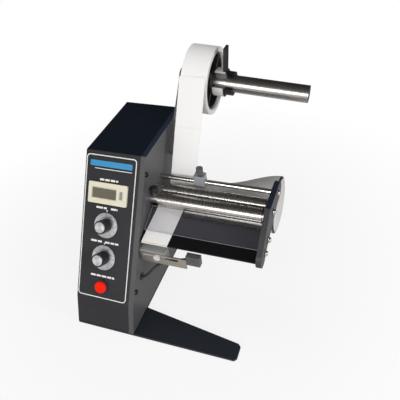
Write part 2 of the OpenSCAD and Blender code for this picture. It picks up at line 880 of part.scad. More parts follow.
// The clear plate that keeps the labels flat on the slope
module press_plate() {
  color([0.6, 0.65, 0.7, 0.4]) on_slope(press_gap, press_s)
    translate([0, 0, press_low]) cube([span - press_gap, press_len, press_t]);
}

module press_bar() {
  x0 = web_left(press_y) + label_w + press_bar_gap;
  color([0.75, 0.76, 0.78]) on_slope(x0, press_s + press_len - press_bar_w - press_bar_in)
    translate([0, 0, press_low + press_t]) cube([span - x0, press_bar_w, press_bar_t]);
}

// Web guide on the rod, with its thumb screw

block_w = 12.5;
block_d = 2 * (rod_back - roller_d / 2 - air);
block_up = 10;
block_down = 8;
thumb_r = 4;
thumb_h = 7;
thumb_neck = 2;
thumb_stem_r = 2;
block_x = web_left(rod_c[0]) + label_w + 2 * air;

module web_guide() {
  color([0.8, 0.82, 0.85, 0.5]) difference() {
    translate([block_x, rod_c[0] - block_d / 2, rod_c[1] - block_down])
      cube([block_w, block_d, block_up + block_down]);
    rod_x(rod_c, block_x - cut, block_w + 2 * cut, rod_d / 2 + run);
    translate([block_x + block_w / 2, rod_c[0], rod_c[1]])
      cylinder(h = block_up + cut, r = thumb_stem_r + run);
  }
}

module thumb_screw() {
  tip = rod_d / 2 + air;
  color([0.35, 0.35, 0.36]) translate([block_x + block_w / 2, rod_c[0], rod_c[1]]) {
    translate([0, 0, tip]) cylinder(h = block_up + thumb_neck - tip, r = thumb_stem_r);
    translate([0, 0, block_up + thumb_neck]) cylinder(h = thumb_h, r = thumb_r);
  }
}

// Roll holder

arm_foot_y = 173.5;
arm_foot_down = 32;
arm_screw_off = 6;
arm_foot = [arm_foot_y, body_h - arm_foot_down];
arm_way = (tube_c - arm_foot) / norm(tube_c - arm_foot);
arm_boss_r = 11;

module support_arm() {
  color([0.22, 0.22, 0.24]) {
    along(0, arm_t) bar2d(arm_foot, tube_c, arm_w);
    rod_x(tube_c, 0, arm_t, arm_boss_r);
    for (s = [-1, 1]) rod_x(arm_foot + s * arm_screw_off * arm_way, arm_t, head_t, head_r);
  }
}

tube_flange_r = 11;
tube_flange_t = 6;

module roll_tube() {
  color([0.85, 0.85, 0.86]) difference() {
    union() {
      rod_x(tube_c, arm_t, tube_flange_t, tube_flange_r);
      on_tube(tube_flange_t / 2) rotate([0, 90, 0]) cylinder(h = tube_len - tube_flange_t / 2, d = tube_d);
    }
    on_tube(tube_flange_t) rotate([0, 90, 0]) cylinder(h = tube_len, d = tube_d - 2 * tube_wall);
  }
}

roll_s = (roll_x - arm_t) / cos(tube_droop);
roll_c = tube_c - [0, (roll_s + label_w / 2) * sin(tube_droop)];
hub_r = 15;
rim_t = 3;
adapter_in = 3;
spoke_w = 5;

// The spoked adapter that fills the roll's core and turns on the tube
module core_adapter() {
  w = label_w - 2 * adapter_in;
  rim_r = core_d / 2 - fit;
  color([0.15, 0.15, 0.16]) on_tube(roll_s + adapter_in) rotate([0, 90, 0]) difference() {
    union() {
      cylinder(h = w, r = hub_r);
      difference() {
        cylinder(h = w, r = rim_r);
        translate([0, 0, -cut]) cylinder(h = w + 2 * cut, r = rim_r - rim_t);
      }
      for (i = [0 : 3]) rotate(90 * i + 45)
        translate([tube_d / 2 + rim_t, -spoke_w / 2, 0])
          cube([rim_r - rim_t / 2 - tube_d / 2 - rim_t, spoke_w, w]);
    }
    translate([0, 0, -cut]) cylinder(h = w + 2 * cut, r = tube_d / 2 + run);
  }
}

module label_roll() {
  color([0.95, 0.95, 0.94]) on_tube(roll_s) rotate([0, 90, 0]) difference() {
    cylinder(h = label_w, d = roll_d);
    translate([0, 0, -cut]) cylinder(h = label_w + 2 * cut, d = core_d);
  }
}

clip_w = 13;
clip_r = 16.5;
clip_mouth = 17;
clip_turn = 34;
keeper_w = 9.5;
keeper_r = 14;
keeper_bar_t = 3;
keeper_bar_w = 12;
keeper_top = 44;

// The snap clip that keeps the roll from sliding off. Its mouth faces up and to the front, and behind
// it sits a smaller collar with an upright bar, which reaches past the roll's rim
module roll_clip() {
  both = clip_w + keeper_w;
  color([0.93, 0.93, 0.9]) on_tube(roll_s + label_w + air) difference() {
    union() {
      rotate([0, 90, 0]) cylinder(h = clip_w, r = clip_r);
      rotate([0, 90, 0]) cylinder(h = both, r = keeper_r);
      translate([clip_w - keeper_bar_t, -keeper_bar_w / 2, tube_d / 2])
        cube([keeper_bar_t, keeper_bar_w, keeper_top - tube_d / 2]);
    }
    translate([-cut, 0, 0]) rotate([0, 90, 0]) cylinder(h = both + 2 * cut, r = tube_d / 2 + run);
    rotate([-clip_turn, 0, 0]) translate([-cut, -clip_r - cut, -clip_mouth / 2])
      cube([both + 2 * cut, clip_r + cut, clip_mouth]);
  }
}

// Web and liner. A stop is a centre and a radius, negative where the centre lies left of the way

function heading(a, b) =
  let(d = [b[0] - a[0], b[1] - a[1]])
  atan2(d[1], d[0]) + asin((b[2] - a[2]) / norm(d));
function turned(a, near) = a + 360 * round((near - a) / 360);
function on_stop(s, w) = [s[0] - s[2] * sin(w), s[1] + s[2] * cos(w)];
function round_stop(s, w0, w1, n) = [for (i = [0 : n]) on_stop(s, w0 + (w1 - w0) * i / n)];
function stop(c, r) = [c[0], c[1], r];

web_off = web_clear + web_t / 2;
roll_stop = stop(roll_c, -roll_d / 2 - web_off - air);
rod_stop = stop(rod_c, rod_d / 2 + web_off);
guide_stop = stop(guide_c, roller_d / 2 + web_off);
bend_stop = stop(bend_c, -peel_t / 2 - web_off);
peel_stop = stop(peel_c, -peel_t / 2 - web_off);
drive_stop = stop(drive_c, -drive_d / 2 - web_off);
pinch_stop = stop(pinch_c, pinch_d / 2 + web_off);
take_stop = stop(take_c, -sleeve_d / 2 - web_off);

off_roll = turned(heading(roll_stop, rod_stop), 245);
off_rod = turned(heading(rod_stop, guide_stop), off_roll);
off_guide = turned(heading(guide_stop, bend_stop), off_rod);
off_bend = turned(heading(bend_stop, peel_stop), off_guide);
off_peel = turned(heading(peel_stop, drive_stop), off_bend + 150);
off_drive = turned(heading(drive_stop, pinch_stop), off_peel);
off_pinch = turned(heading(pinch_stop, take_stop), off_drive);
take_wrap = 120;

web_path = concat(
  [on_stop(roll_stop, off_roll)],
  round_stop(rod_stop, off_roll, off_rod, 3),
  round_stop(guide_stop, off_rod, off_guide, 10),
  round_stop(bend_stop, off_guide, off_bend, 4),
  [on_stop(peel_stop, off_bend)]);
liner_path = concat(
  round_stop(peel_stop, off_bend, off_peel, 8),
  round_stop(drive_stop, off_peel, off_drive, 3),
  round_stop(pinch_stop, off_drive, off_pinch, 4),
  round_stop(take_stop, off_pinch, off_pinch + take_wrap, 16));

// A flat band along a path in Y and Z, as wide as the labels
function band_points(p) = [for (i = [0 : len(p) - 1], e = [[0, 1], [1, 1], [1, -1], [0, -1]])
  let(t = way(p, i), n = [-t[1], t[0]] * e[1] * web_t / 2)
  [web_left(p[i][0]) + e[0] * label_w, p[i][0] + n[0], p[i][1] + n[1]]];

module band(p) {
  polyhedron(points = band_points(p), faces = tube_faces(len(p), 4), convexity = 6);
}

module label_web() { color([0.96, 0.96, 0.95]) band(web_path); }
module liner_return() { color([0.9, 0.88, 0.8]) band(liner_path); }

// Sensor below the peel edge

bracket_x = 1;
bracket_y = 51;
bracket_top = 91;
slot_in = 2;
slot_down = 4;
screw_x = 21.6;
mount_w = 30;
mount_d = 12;
mount_h = 13;
mount_up = 1;
eye_w = 16;
eye_d = 7;
eye_h = 13;
eye_up = 6;
lens_r = 2.5;
lens_t = 0.6;
slot_z = bracket_top - slot_down;
eye_x = bracket_x + bracket_len;

// The block on the side plate that the bracket is clamped to
module sensor_mount() {
  color([0.3, 0.31, 0.33]) difference() {
    translate([0, bracket_y + bracket_t, bracket_top + mount_up - mount_h])
      cube([mount_w, mount_d, mount_h]);
    translate([screw_x, bracket_y, slot_z]) rotate([-90, 0, 0])
      cylinder(h = bracket_t + mount_d / 2, r = screw_r);
  }
}

module sensor_bracket() {
  slot_from = bracket_x + slot_in + slot_w / 2;
  color([0.72, 0.69, 0.64]) difference() {
    translate([bracket_x, bracket_y, bracket_top - bracket_h])
      cube([bracket_len, bracket_t - run, bracket_h]);
    for (x = [0, slot_len - slot_w]) translate([slot_from + x, bracket_y + 2 * bracket_t, slot_z])
      rotate([90, 0, 0]) cylinder(h = 4 * bracket_t, d = slot_w);
    translate([slot_from, bracket_y - bracket_t, slot_z - slot_w / 2])
      cube([slot_len - slot_w, 4 * bracket_t, slot_w]);
  }
}

// The sensor's eye, fixed to the bracket's end, with its lens in front
module sensor_body() {
  color([0.36, 0.37, 0.38]) {
    translate([eye_x, bracket_y, bracket_top + eye_up - eye_h]) cube([eye_w, eye_d, eye_h]);
    translate([eye_x + eye_w / 2, bracket_y, bracket_top + eye_up - eye_h / 2]) rotate([90, 0, 0])
      cylinder(h = lens_t, r = lens_r);
  }
}

module sensor_screw() {
  color([0.85, 0.85, 0.82]) translate([screw_x, bracket_y, slot_z]) rotate([90, 0, 0]) {
    translate([0, 0, run]) cylinder(h = head_t, r = washer_r);
    translate([0, 0, -bracket_t - mount_d / 2 + air])
      cylinder(h = bracket_t + mount_d / 2 - air + head_t, r = screw_r);
  }
}

// The cable's route: from the eye's back, behind the block, down, and straight in through the gland
cable_points = [
  [60, 58, 88], [60, 61, 87], [58, 63, 83], [53, 64, 79], [46, 64, 76], [38, 63, 74], [30, 61, 72],
  [23, 59, 69], [17, 57, 66], [12, 54, 62], [8, 50, 58], [5, 47, 56], [2, 45, 55], [-3, 45, 55],
  [-9, 45, 55], [-15, 45, 55], [-21, 45, 55], [-27, 45, 55]
];
cable_sides = 8;

module sensor_cable() {
  color([0.1, 0.1, 0.11]) swept_tube(cable_points, cable_d / 2, cable_sides);
}

gland_lip_r = 4.5;
gland_lip_t = 1;

module cable_gland() {
  color([0.08, 0.08, 0.08]) difference() {
    union() {
      rod_x(gland_c, wall_x, side_t + gland_lip_t, gland_r);
      rod_x(gland_c, 0, gland_lip_t, gland_lip_r);
    }
    rod_x(gland_c, wall_x - cut, side_t + gland_lip_t + 2 * cut, cable_d / 2 + run);
  }
}

// Electronics on the left plate

board_t = 1.6;
board_w = 78;
board_h = 62;
board_in = 16;
board_z = 14;
stand_len = 4;
stand_r = 3;
stand_in = 6;
core_t = 22;
core_w = 36;
core_h = 34;
can_r = 7;
can_len = 24;

// The circuit board on its stand-offs, with its transformer and two round capacitors
module control_board() {
  back_x = left_x + left_t;
  front_x = back_x + stand_len + board_t;
  board_y = base_depth - board_in - board_w;
  color([0.1, 0.4, 0.2]) {
    translate([back_x + stand_len, board_y, board_z]) cube([board_t, board_w, board_h]);
    for (y = [stand_in, board_w - stand_in], z = [stand_in, board_h - stand_in])
      rod_x([board_y + y, board_z + z], back_x, stand_len, stand_r);
    translate([front_x, board_y + 2 * stand_in, board_z + 2 * stand_in]) cube([core_t, core_w, core_h]);
    for (z = [board_h / 4, board_h * 3 / 5])
      rod_x([board_y + board_w - 2 * can_r, board_z + z], front_x, can_len, can_r);
  }
}

base_plate();
body_wrap();
left_plate();
side_plate();
rear_cover();
cord_gland();
counter_case();
counter_window();
counter_reset();
dial_plates();
length_knob();
speed_knob();
length_cap();
speed_cap();
potentiometers();
length_shaft();
speed_shaft();
power_switch();
power_button();
motor();
gearbox();
drive_shaft();
drive_rubber();
pinch_lever();
pinch_roller();
pinch_spring();
take_up_shaft();
take_up_drum();
drive_pulley();
take_up_pulley();
drive_belt();
shaft_bearings();
guide_rod();
guide_roller();
press_roller();
fixed_axles();
roller_links();
pressure_knob();
outer_plate();
plate_screws();
peel_plate();
cross_bars();
press_plate();
press_bar();
web_guide();
thumb_screw();
support_arm();
roll_tube();
core_adapter();
label_roll();
roll_clip();
label_web();
liner_return();
sensor_mount();
sensor_bracket();
sensor_body();
sensor_screw();
sensor_cable();
cable_gland();
control_board();
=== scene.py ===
# %% [markdown]
# # A bench label dispenser
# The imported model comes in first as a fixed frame, in metres: X runs along the rollers, Y runs back
# and Z is up. The solids that already have the right shape keep it and only get a finish. Print, screw
# heads, the display's rim and the sensor's cable are modelled here.

# %% Load the frame
import bpy
import bmesh
import json
import math
from mathutils import Matrix, Vector

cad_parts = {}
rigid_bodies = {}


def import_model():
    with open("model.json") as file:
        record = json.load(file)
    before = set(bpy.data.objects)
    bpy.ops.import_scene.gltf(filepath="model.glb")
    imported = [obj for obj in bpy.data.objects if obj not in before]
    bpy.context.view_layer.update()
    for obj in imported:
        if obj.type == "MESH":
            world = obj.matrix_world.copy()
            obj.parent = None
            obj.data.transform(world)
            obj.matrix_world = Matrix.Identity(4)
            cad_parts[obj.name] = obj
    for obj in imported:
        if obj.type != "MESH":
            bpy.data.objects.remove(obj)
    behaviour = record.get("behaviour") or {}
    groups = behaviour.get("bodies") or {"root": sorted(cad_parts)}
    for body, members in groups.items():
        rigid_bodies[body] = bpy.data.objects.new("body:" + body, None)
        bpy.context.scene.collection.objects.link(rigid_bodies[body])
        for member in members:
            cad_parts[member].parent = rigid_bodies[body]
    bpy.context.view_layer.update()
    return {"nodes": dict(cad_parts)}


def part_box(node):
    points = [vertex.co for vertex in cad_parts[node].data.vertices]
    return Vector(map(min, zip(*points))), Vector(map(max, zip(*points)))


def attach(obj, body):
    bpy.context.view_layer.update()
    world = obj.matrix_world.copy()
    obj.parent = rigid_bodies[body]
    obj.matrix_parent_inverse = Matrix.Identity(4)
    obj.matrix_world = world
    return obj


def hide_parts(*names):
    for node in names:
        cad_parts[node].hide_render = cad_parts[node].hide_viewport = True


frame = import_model()
MM = 0.001

# %% [markdown]
# ## The camera
# The picture was taken from high on the right, with the camera tipped a few degrees. A camera is a
# place, a direction, a roll and a lens. The roll is applied last, about the view axis.

# %% Place the camera
CAMERA_PLACE = Vector((217.55, -274.65, 485.69)) * MM
CAMERA_AZIMUTH = math.radians(22.83)
CAMERA_HEIGHT = math.radians(40.57)
CAMERA_ROLL = math.radians(-6.18)
LENS_PIXELS = 489.5
IMAGE_PIXELS = 400
SENSOR_MM = 36

camera = bpy.data.objects.new("camera", bpy.data.cameras.new("camera"))
bpy.context.scene.collection.objects.link(camera)
bpy.context.scene.camera = camera
camera.data.sensor_width = SENSOR_MM
camera.data.lens = SENSOR_MM * LENS_PIXELS / IMAGE_PIXELS
camera.data.clip_start = 0.01
camera.matrix_world = (
    Matrix.Translation(CAMERA_PLACE)
    @ Matrix.Rotation(CAMERA_AZIMUTH, 4, "Z")
    @ Matrix.Rotation(math.pi / 2 - CAMERA_HEIGHT, 4, "X")
    @ Matrix.Rotation(CAMERA_ROLL, 4, "Z")
)
print("lens", round(camera.data.lens, 2), "mm")

# %% [markdown]
# ## The room
# A small product stands on a white table between large soft lamps, which are square area lights aimed
# at its middle. One is in front and one on the right, and both are rather low, so that the sides are
# lit and the top stays dark. A weaker one overhead gives the soft shadow on the table. It stays out of
# the reflections, which keeps the tops of the rollers dark.

# %% Light the room
scene = bpy.context.scene
scene.view_settings.view_transform = "Standard"
MIDDLE = (0.03, 0.12, 0.12)
# Each lamp has its place and its side in metres, its power in watts, and whether metal reflects it.
LAMPS = {
    "front_lamp": ((-0.08, -1.22, 0.62), 0.6, 8, True),
    "side_lamp": ((1.25, -0.05, 0.5), 0.6, 8, True),
    "top_lamp": ((-0.3, 0.35, 1.4), 0.9, 5, False),
}
for name, (place, side, watts, reflected) in LAMPS.items():
    lamp = bpy.data.objects.new(name, bpy.data.lights.new(name, "AREA"))
    scene.collection.objects.link(lamp)
    lamp.data.size = side
    lamp.data.energy = watts
    lamp.location = place
    lamp.rotation_euler = (Vector(MIDDLE) - Vector(place)).to_track_quat("-Z", "Y").to_euler()
    lamp.visible_glossy = reflected
    print("lamp", name, watts, "W")

# %% [markdown]
# ## Shader maths in Python
# A finish is a small network of nodes. Written as Python, `1 - mask * 0.5` is easier to follow than
# boxes and wires, so one class wraps a socket and adds Math nodes when it is added or multiplied.

# %% Wires
class Wire:
    """The output of a node. Arithmetic on it adds Math nodes to the same network."""

    def __init__(self, network, socket):
        self.network = network
        self.socket = socket

    def maths(self, operation, *values):
        inputs = dict(enumerate(values))
        return self.network.node("ShaderNodeMath", {"operation": operation}, inputs)

    def __add__(self, other):
        return self.maths("ADD", self, other)

    def __radd__(self, other):
        return self.maths("ADD", other, self)

    def __sub__(self, other):
        return self.maths("SUBTRACT", self, other)

    def __rsub__(self, other):
        return self.maths("SUBTRACT", other, self)

    def __mul__(self, other):
        return self.maths("MULTIPLY", self, other)

    def __rmul__(self, other):
        return self.maths("MULTIPLY", other, self)

    def __truediv__(self, other):
        return self.maths("DIVIDE", self, other)

    def __pow__(self, other):
        return self.maths("POWER", self, other)

    def __abs__(self):
        return self.maths("ABSOLUTE", self)

    def sine(self):
        return self.maths("SINE", self)

    def fraction(self):
        return self.maths("FRACT", self)

    def above(self, edge):
        return self.maths("GREATER_THAN", self, edge)

    def below(self, edge):
        return self.maths("LESS_THAN", self, edge)

    def either(self, other):
        """A mask that is 1 where this mask or the other one is."""
        return self.maths("MAXIMUM", self, other)


# %% [markdown]
# ## Networks of nodes
# Every node that isn't arithmetic comes from one method, which takes its type, its settings and its
# inputs. An input is a wire, a number, a vector, or a colour of three parts that gets its fourth here.

# %% Networks
class Network:
    """A node tree with one method that adds any node to it."""

    def __init__(self, tree):
        self.tree = tree

    def node(self, kind, settings=None, inputs=None, out=0):
        made = self.tree.nodes.new(kind)
        for key, value in (settings or {}).items():
            if key == "stops":
                ramp = made.color_ramp
                while len(ramp.elements) < len(value):
                    ramp.elements.new(0.5)
                for stop, (at, grey) in zip(ramp.elements, value):
                    stop.position = at
                    stop.color = (grey, grey, grey, 1)
            else:
                setattr(made, key, value)
        for key, value in (inputs or {}).items():
            self.join(value, made.inputs[key])
        return Wire(self, made.outputs[out])

    def join(self, value, socket):
        if isinstance(value, Wire):
            self.tree.links.new(value.socket, socket)
        elif socket.type == "RGBA":
            socket.default_value = (*value, 1)
        else:
            socket.default_value = value

    def vector(self, operation, *values, out=0):
        inputs = dict(enumerate(values))
        return self.node("ShaderNodeVectorMath", {"operation": operation}, inputs, out)

    def part(self, vector, axis):
        return self.node("ShaderNodeSeparateXYZ", inputs={0: vector}, out=axis)

    def ramp(self, value, *stops):
        return self.node("ShaderNodeValToRGB", {"stops": stops}, {0: value}, out="Color")

    def mix(self, mask, first, second):
        settings = {"data_type": "RGBA"}
        return self.node("ShaderNodeMix", settings, {0: mask, 6: first, 7: second}, out=2)


# %% [markdown]
# ## Finishes
# Nothing real is perfectly even. Each material is one Principled shader, and its class carries the
# helpers for what varies over the surface: noise, bump, which way a face looks, and the distance from
# an axis. The first colour and roughness are plain values, and most finishes then vary them.

# %% Finishes
class Finish(Network):
    """A material with one Principled shader, and helpers for what varies over its surface."""

    def __init__(self, name, color, roughness, metallic=0.0, **fixed):
        self.material = bpy.data.materials.new(name)
        self.material.use_nodes = True
        super().__init__(self.material.node_tree)
        self.shader = self.tree.nodes["Principled BSDF"]
        self.material.diffuse_color = (*color, 1)
        self.set("Base Color", color)
        self.set("Roughness", roughness)
        self.set("Metallic", metallic)
        for socket, value in fixed.items():
            self.set(socket.replace("_", " "), value)
        self.place = self.node("ShaderNodeTexCoord", out="Object")

    def set(self, socket, value):
        self.join(value, self.shader.inputs[socket])
        return self

    def blend(self, mask, first, second):
        """Sets the colour between two others, by a mask over the surface."""
        return self.set("Base Color", self.mix(mask, first, second))

    def along(self, axis):
        return self.part(self.place, axis)

    def noise(self, scale, detail, stretch=None):
        where = self.vector("MULTIPLY", self.place, stretch) if stretch else self.place
        inputs = {"Vector": where, "Scale": scale, "Detail": detail}
        return self.node("ShaderNodeTexNoise", inputs=inputs, out="Fac")

    def bump(self, height, depth, strength):
        """Raises the surface by a height from 0 to 1, whose full depth is in metres."""
        inputs = {"Height": height, "Distance": depth, "Strength": strength}
        return self.set("Normal", self.node("ShaderNodeBump", inputs=inputs))

    def facing(self, way):
        """How far the surface faces a fixed direction: 1 straight at it, 0 side on."""
        normal = self.node("ShaderNodeNewGeometry", out="Normal")
        return self.vector("DOT_PRODUCT", normal, tuple(way), out="Value")

    def grooves(self, wave, way):
        """Tilts the surface along way by a wave, as marks far finer than a pixel do."""
        normal = self.node("ShaderNodeNewGeometry", out="Normal")
        turn = {"vector_type": "VECTOR", "convert_from": "OBJECT", "convert_to": "WORLD"}
        across = self.node("ShaderNodeVectorTransform", turn, {0: way})
        tilt = self.node("ShaderNodeVectorMath", {"operation": "SCALE"}, {0: across, "Scale": wave})
        return self.set("Normal", self.vector("NORMALIZE", self.vector("ADD", normal, tilt)))

    def around(self, center):
        """Distance from a line along X through the point center, in Y and Z."""
        across = self.along(1) - center[0]
        up = self.along(2) - center[1]
        return (across * across + up * up) ** 0.5


def tint(color, share, lift=0.0):
    """A colour made darker or lighter by a share, and lifted by a small amount."""
    return tuple(share * part + lift for part in color)


def dress(finish, *nodes):
    """Gives CAD nodes, or pieces made here, a finish."""
    for name in nodes:
        piece = frame["nodes"].get(name) or bpy.data.objects[name]
        piece.data.materials.clear()
        piece.data.materials.append(finish.material)
    print("dressed", ", ".join(nodes))


# %% [markdown]
# ## Soft edges
# Sheet and plate never end in a perfect corner: a hair of radius catches the light. A Bevel modifier
# adds that to the solid without changing its size. The plates, the blocks and the clip get it, each
# with its radius in millimetres. The turned pieces already have their own edges.

# %% Round the plates' edges
EDGE = {
    "body_wrap": 0.5, "left_plate": 0.5, "side_plate": 0.5, "base_plate": 0.5, "outer_plate": 0.6,
    "support_arm": 0.5, "counter_case": 0.4, "counter_reset": 0.3, "roller_links": 0.4,
    "sensor_mount": 0.4, "sensor_bracket": 0.2, "sensor_body": 0.5, "web_guide": 0.4,
    "press_bar": 0.3, "gearbox": 0.5, "rear_cover": 0.2, "roll_clip": 0.5,
}
SHARP = math.radians(40)
for name, radius in EDGE.items():
    bevel = frame["nodes"][name].modifiers.new("edge", "BEVEL")
    bevel.width = radius * MM
    bevel.segments = 2
    bevel.limit_method = "ANGLE"
    bevel.angle_limit = SHARP
print("rounded", len(EDGE), "pieces")

# %% [markdown]
# ## Painted steel
# The housing is sheet and plate with a fine charcoal powder coat. Powder leaves a skin of pebbles about
# half a millimetre across, with a soft sheen. A fine noise gives the pebbles as bump, and a slow one
# varies the sheen and the shade, as hands and cloths do. In the picture the level faces look darker
# and bluer, and the pieces differ. That is most likely the light there, but here it is painted in: each
# piece has its own shade, and a level face gets a share of each of its colour parts.

# %% Powder coats
# A face is level when it faces up by at least this much, where 1 is straight up.
LEVEL = 0.97
HOUSING_SHARES, FOOT_SHARES, SAME_SHARES = (0.3, 0.45, 0.7), (0.75, 0.85, 1.0), (1, 1, 1)


def powder_coat(name, color, roughness, sheen=0.2, level_shares=HOUSING_SHARES):
    paint = Finish(name, color, roughness, Specular_IOR_Level=sheen)
    pebbles = paint.noise(2600, 2)
    patches = paint.noise(28, 3)
    shade = paint.mix(patches * 0.8 + pebbles * 0.2, color, tint(color, 1.35, 0.004))
    level = paint.facing((0, 0, 1)).above(LEVEL)
    paint.blend(level, shade, tuple(part * share for part, share in zip(color, level_shares)))
    paint.set("Roughness", roughness - 0.09 + patches * 0.18)
    paint.bump(pebbles, 0.00006, 0.55)
    return paint


charcoal = powder_coat("charcoal_coat", (0.022, 0.0225, 0.026), 0.42)
dress(charcoal, "body_wrap", "left_plate", "rear_cover")
dress(powder_coat("side_coat", (0.07, 0.069, 0.073), 0.34, 0.3), "side_plate")
dress(powder_coat("foot_coat", (0.026, 0.027, 0.03), 0.5, level_shares=FOOT_SHARES), "base_plate")
dress(powder_coat("outer_coat", (0.046, 0.045, 0.048), 0.4), "outer_plate")
dress(powder_coat("arm_coat", (0.1, 0.095, 0.1), 0.4), "support_arm")
pale_coat = powder_coat("block_coat", (0.36, 0.375, 0.385), 0.34, level_shares=SAME_SHARES)
dress(pale_coat, "sensor_mount")

# %% [markdown]
# ## The panel's own frame
# Everything on the slanted panel is placed by u, across from its left edge, and v, up from its lower
# bend, with w standing out of it. One function turns these into a point in the room.

# %% Panel frame
PANEL_LEFT = -73.0
BEND = Vector((0, 13.0, 37.0))
CREST = Vector((0, 106.0, 182.0))
panel_up = (CREST - BEND).normalized()
panel_out = Vector((0, -panel_up.z, panel_up.y))
PANEL_TILT = math.atan2(panel_up.z, panel_up.y)
CONTROL_U = 31.0
COUNTER_V = 125.5
DIAL_V = {"length": 89.0, "speed": 51.0}
print("panel tilt", round(math.degrees(PANEL_TILT), 1), "degrees")


def on_panel(u, v, w=0.0):
    return (BEND + Vector((PANEL_LEFT + u, 0, 0)) + panel_up * v + panel_out * w) * MM


def add_mesh(name, points, faces, body, smooth=False):
    """A mesh piece, in metres, that rides on a body."""
    mesh = bpy.data.meshes.new(name)
    mesh.from_pydata([tuple(p) for p in points], [], faces)
    mesh.validate()
    piece = bpy.data.objects.new(name, mesh)
    scene.collection.objects.link(piece)
    work = bmesh.new()
    work.from_mesh(mesh)
    bmesh.ops.recalc_face_normals(work, faces=work.faces)
    work.to_mesh(mesh)
    work.free()
    for face in mesh.polygons:
        face.use_smooth = smooth
    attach(piece, body)
    return piece


def strip(first, second, count):
    """The faces between two rings of count points, from the numbers of their first points."""
    return [[first + i, first + (i + 1) % count, second + (i + 1) % count, second + i]
            for i in range(count)]


def slab(name, loops, body, place, thick, low=0.0):
    """Thin plates from closed outlines: place(u, v, w) puts each point, and each loop is one plate."""
    points, faces = [], []
    for loop in loops:
        start, count = len(points), len(loop)
        points += [place(u, v, low) for u, v in loop] + [place(u, v, low + thick) for u, v in loop]
        faces.append([start + i for i in range(count)])
        faces.append([start + count + i for i in range(count)])
        faces += strip(start, start + count, count)
    return add_mesh(name, points, faces, body)


def round_box(u, v, wide, high, radius, steps=5):
    """The outline of a rectangle with round corners, centred on u and v."""
    points = []
    for turn, (sx, sy) in enumerate(((1, 1), (-1, 1), (-1, -1), (1, -1))):
        for i in range(steps + 1):
            a = math.radians(90 * turn + 90 * i / steps)
            points.append((u + sx * (wide / 2 - radius) + radius * math.cos(a),
                           v + sy * (high / 2 - radius) + radius * math.sin(a)))
    return points


# %% [markdown]
# ## The printed frame and marks
# The panel carries a white frame line with round corners, plain bars above each control, and small
# pointers over the dials. Print has almost no height, so each mark is a plate a few hundredths of a
# millimetre thick. The frame is two outlines joined by a strip of faces.

# %% Frame line and marks
INK_LOW, INK = 0.01, 0.05
LINE_W = 1.1
FRAME_U, FRAME_V = 32.0, 85.0
FRAME_WIDE, FRAME_HIGH, FRAME_R = 62.0, 166.0, 4.2
outer = round_box(FRAME_U, FRAME_V, FRAME_WIDE, FRAME_HIGH, FRAME_R)
inner = round_box(FRAME_U, FRAME_V, FRAME_WIDE - 2 * LINE_W, FRAME_HIGH - 2 * LINE_W, FRAME_R - LINE_W)
count = len(outer)
line_points = [on_panel(u, v, w) for w in (INK_LOW, INK) for loop in (outer, inner) for u, v in loop]
line_faces = []
for one, other in ((0, 1), (2, 3), (0, 2), (1, 3)):
    line_faces += strip(one * count, other * count, count)
add_mesh("panel_frame_line", line_points, line_faces, "chassis")

# Each row of bars has its height v, and for each bar its middle across and its width.
BAR_HIGH, BAR_R = 2.3, 0.6
WORD_BARS = {
    "counter_bars": (140.6, [(-9.0, 5.5), (-2.2, 6.0), (4.6, 5.6), (9.7, 2.8)]),
    "length_bars": (108.6, [(-9.5, 8.5), (-2.4, 3.8), (7.8, 6.4), (12.2, 1.6)]),
    "speed_bars": (69.3, [(-14.0, 7.5), (-6.4, 5.4), (3.2, 6.0), (9.8, 5.0), (15.2, 4.2)]),
    "power_bars": (28.8, [(-11.6, 6.4), (-4.8, 5.4), (2.2, 6.2), (9.0, 5.4), (14.0, 2.8)]),
}
for name, (v, bars) in WORD_BARS.items():
    loops = [round_box(CONTROL_U + at, v, wide, BAR_HIGH, BAR_R, 3) for at, wide in bars]
    slab(name, loops, "chassis", on_panel, INK)
STRIPES = {
    "top_stripe": (FRAME_U, 158.4, 52.0, 6.4, 1.0),
    "top_stripe_line": (FRAME_U + 3, 152.6, 46.0, 0.8, 0.3),
}
for name, stripe in STRIPES.items():
    slab(name, [round_box(*stripe)], "chassis", on_panel, INK)
POINTERS = {"length_pointer": 105.0, "speed_pointer": 67.0}
POINTER_HALF, POINTER_TOP, POINTER_TIP = 1.2, 1.6, -0.9
for name, v in POINTERS.items():
    corners = [(CONTROL_U - POINTER_HALF, v + POINTER_TOP), (CONTROL_U + POINTER_HALF, v + POINTER_TOP),
               (CONTROL_U, v + POINTER_TIP)]
    slab(name, [corners], "chassis", on_panel, INK)

# %% [markdown]
# ## Ink
# Screen print lies thinly over the powder coat, so the pebbles still show through it as bump, and the
# ink is a little thicker in some places than in others.

# %% Inks
def screen_ink(name, color, roughness, thin, thick):
    ink = Finish(name, color, roughness)
    ink.blend(ink.noise(900, 2), thin, thick)
    ink.bump(ink.noise(2600, 2), 0.00003, 0.4)
    return ink


white_ink = screen_ink("white_ink", (0.82, 0.82, 0.8), 0.5, (0.74, 0.74, 0.72), (0.88, 0.88, 0.87))
blue_ink = screen_ink("blue_ink", (0.02, 0.3, 0.6), 0.45, (0.015, 0.22, 0.48), (0.03, 0.33, 0.64))
dress(white_ink, "panel_frame_line", *WORD_BARS, "top_stripe_line", *POINTERS)
dress(blue_ink, "top_stripe")

# %% [markdown]
# ## Dial plates
# Each dial plate is a turned aluminium disc with a black scale. The scale runs from 0 to 10 over 300
# degrees, with a short stroke at every half. The strokes are thin plates like the marks on the panel,
# and the plain numbers are text objects set flat on the dial.

# %% Scales and numbers
DIAL_W = 0.8
SCALE_SPAN, SCALE_TOP = 300, 10
